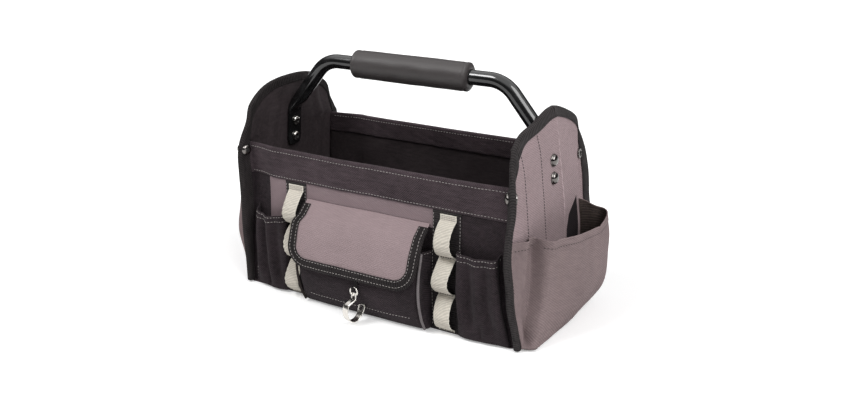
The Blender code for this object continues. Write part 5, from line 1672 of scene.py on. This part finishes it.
def add_tape_hook():
    """Bent steel hook, hung on a ring in a tab that is sewn under the flap."""
    face = GAP + pocket_depth(RING_HEIGHT) + FABRIC / 2
    out = face + HOOK_STANDOFF + HOOK_WIDTH / 2
    ring = [front_place(RING_RADIUS * math.cos(angle), out, RING_HEIGHT + RING_RADIUS * math.sin(angle))
            for angle in turns(48)]
    wire("hook_ring_wire", ring, RING_WIRE, "bright_steel", ("hook_ring",), cyclic=True, sides=16)
    top = RING_HEIGHT + RING_RADIUS
    sewn = GAP + FABRIC / 2 + GAP + TAPE / 2
    tab = [(sewn + pocket_depth(z), z) for z in spaced(TAB_FOOT + TAB_SEWN, TAB_FOOT, 6)]
    for angle in spaced(0, TAB_WRAP, 24):
        tab.append((out - TAB_LOOP_RADIUS * math.cos(angle), top - TAB_LOOP_RADIUS * math.sin(angle)))
    sheet("hook_tab_tape", spaced(-TAB_WIDTH / 2, TAB_WIDTH / 2, 6), range(len(tab)),
          lambda x, j: front_place(x, *tab[j]), TAPE, "webbing_black", ("hook_tab",))

    axis = RING_HEIGHT - RING_RADIUS
    bar_low = RING_WIRE + GAP
    route = [(0, bar_low + HOOK_BAR), (0, bar_low), (0, bar_low - HOOK_WINDOW)]
    for angle in spaced(HOOK_BOW_START, HOOK_BOW_START + HOOK_BOW_TURN, 48):
        route.append((HOOK_BOW_OFFSET + HOOK_BOW_RADIUS * math.cos(angle),
                      1.2 * HOOK_BOW_RADIUS * math.sin(angle) - HOOK_BOW_DEPTH))
    tip = (Vector(route[-1]) - Vector(route[-2])).normalized()
    window_end = Vector(route[-1]) + tip * HOOK_TIP_WINDOW
    route += [tuple(window_end), tuple(window_end + tip * HOOK_TIP_BAR)]
    inner = HOOK_WIDTH / 2 - HOOK_WINDOW_SIDE
    widths = (-HOOK_WIDTH / 2, -inner, inner, HOOK_WIDTH / 2)
    last = len(route) - 1
    pivot = Matrix.Translation(front_place(0, out, axis))
    turn = pivot @ Matrix.Rotation(-HOOK_LEAN, 4, "X") @ Matrix.Rotation(HOOK_YAW, 4, "Z") @ pivot.inverted()
    verts = []
    for j, (x, z) in enumerate(route):
        narrow = {0: 0.8, last - 2: 1.15, last - 1: 1.3, last: 0.8}.get(j, 1.0)
        verts += [tuple(turn @ front_place(x, out + width * narrow, axis + z)) for width in widths]
    faces = []
    for j in range(last):
        for i in range(3):
            if i == 1 and j in (1, last - 2):
                continue
            a = j * 4 + i
            faces.append((a, a + 1, a + 5, a + 4))
    obj = add_piece("hook_steel", verts, faces, None, "bright_steel", ("tape_hook",), "hook")
    solid = obj.modifiers.new("Thickness", "SOLIDIFY")
    solid.thickness = HOOK_STEEL
    solid.offset = 0
    solid.use_even_offset = True
    soften(obj, 0.00035)


# Stage

CAMERA_PLACE = Vector((0.6592, -1.0817, 0.5705))
CAMERA_AIM = Vector((-0.4771, 0.8129, -0.3341))
PHOTO_WIDTH = 854
FOCAL_PIXELS = 954.1
FLOOR_HALF = 6.0
# Lamps: aim, power and angle
LAMPS = {"key": ((0.40, 0.52, -0.80), 1.60, 22), "fill": ((-0.70, 0.25, -0.67), 2.10, 40)}


def add_to_stage(name, data, aim):
    """Lamp or camera that looks along aim."""
    obj = bpy.data.objects.new(name, data)
    obj.rotation_mode = "QUATERNION"
    obj.rotation_quaternion = Vector(aim).to_track_quat("-Z", "Y")
    bpy.context.scene.collection.objects.link(obj)
    return obj


def add_stage():
    """Floor, camera, lamps and world."""
    mesh = bpy.data.meshes.new("floor")
    corners = ((-1, -1), (1, -1), (1, 1), (-1, 1))
    mesh.from_pydata([(x * FLOOR_HALF, y * FLOOR_HALF, 0) for x, y in corners], [], [(0, 1, 2, 3)])
    floor = bpy.data.objects.new("floor", mesh)
    floor.location.z = -0.0002
    scene = bpy.context.scene
    scene.collection.objects.link(floor)
    look = Look("pale_floor", 0.9, Emission_Color=(1, 1, 1, 1))
    seen, glossy, through = (value_of(look.tree, "LightPath", f"Is {ray} Ray")
                             for ray in ("Camera", "Glossy", "Transmission"))
    look.feed(Base_Color=look.mix(look.noise(0.4, 2.0), (0.86, 0.86, 0.86), (0.88, 0.88, 0.88)),
              Emission_Strength=seen.math("MAXIMUM", glossy).math("MAXIMUM", through) * 0.30)
    mesh.materials.append(look.material)

    world = bpy.data.worlds.new("studio")
    scene.world = world
    world.use_nodes = True
    tree = world.node_tree
    background = tree.nodes["Background"]
    background.inputs["Color"].default_value = (1, 1, 1, 1)
    seen, mirrored = (value_of(tree, "LightPath", f"Is {ray} Ray") for ray in ("Camera", "Glossy"))
    height = value_of(tree, "TexCoord", "Generated").parts()[2]
    soft = seen * 0.60 + 0.40
    streaks = height.step(0.40, 0.80) * 1.45 + 0.06 - soft
    tree.links.new((soft + streaks * mirrored).socket, background.inputs["Strength"])

    for name, (aim, power, angle) in LAMPS.items():
        lamp = bpy.data.lights.new(name, "SUN")
        lamp.energy = power
        lamp.angle = math.radians(angle)
        add_to_stage(name, lamp, aim)

    data = bpy.data.cameras.new("camera")
    data.sensor_width = 36.0
    data.lens = FOCAL_PIXELS / PHOTO_WIDTH * data.sensor_width
    data.clip_start = 0.01
    data.clip_end = 50.0
    camera = add_to_stage("camera", data, CAMERA_AIM)
    camera.location = CAMERA_PLACE
    scene.camera = camera
    scene.view_settings.view_transform = "Standard"


add_stage()
add_base()
add_walls()
add_ends()
add_strips()
add_flap_pocket()
add_side_pockets()
add_tool_strip()
add_handle()
add_tape_hook()
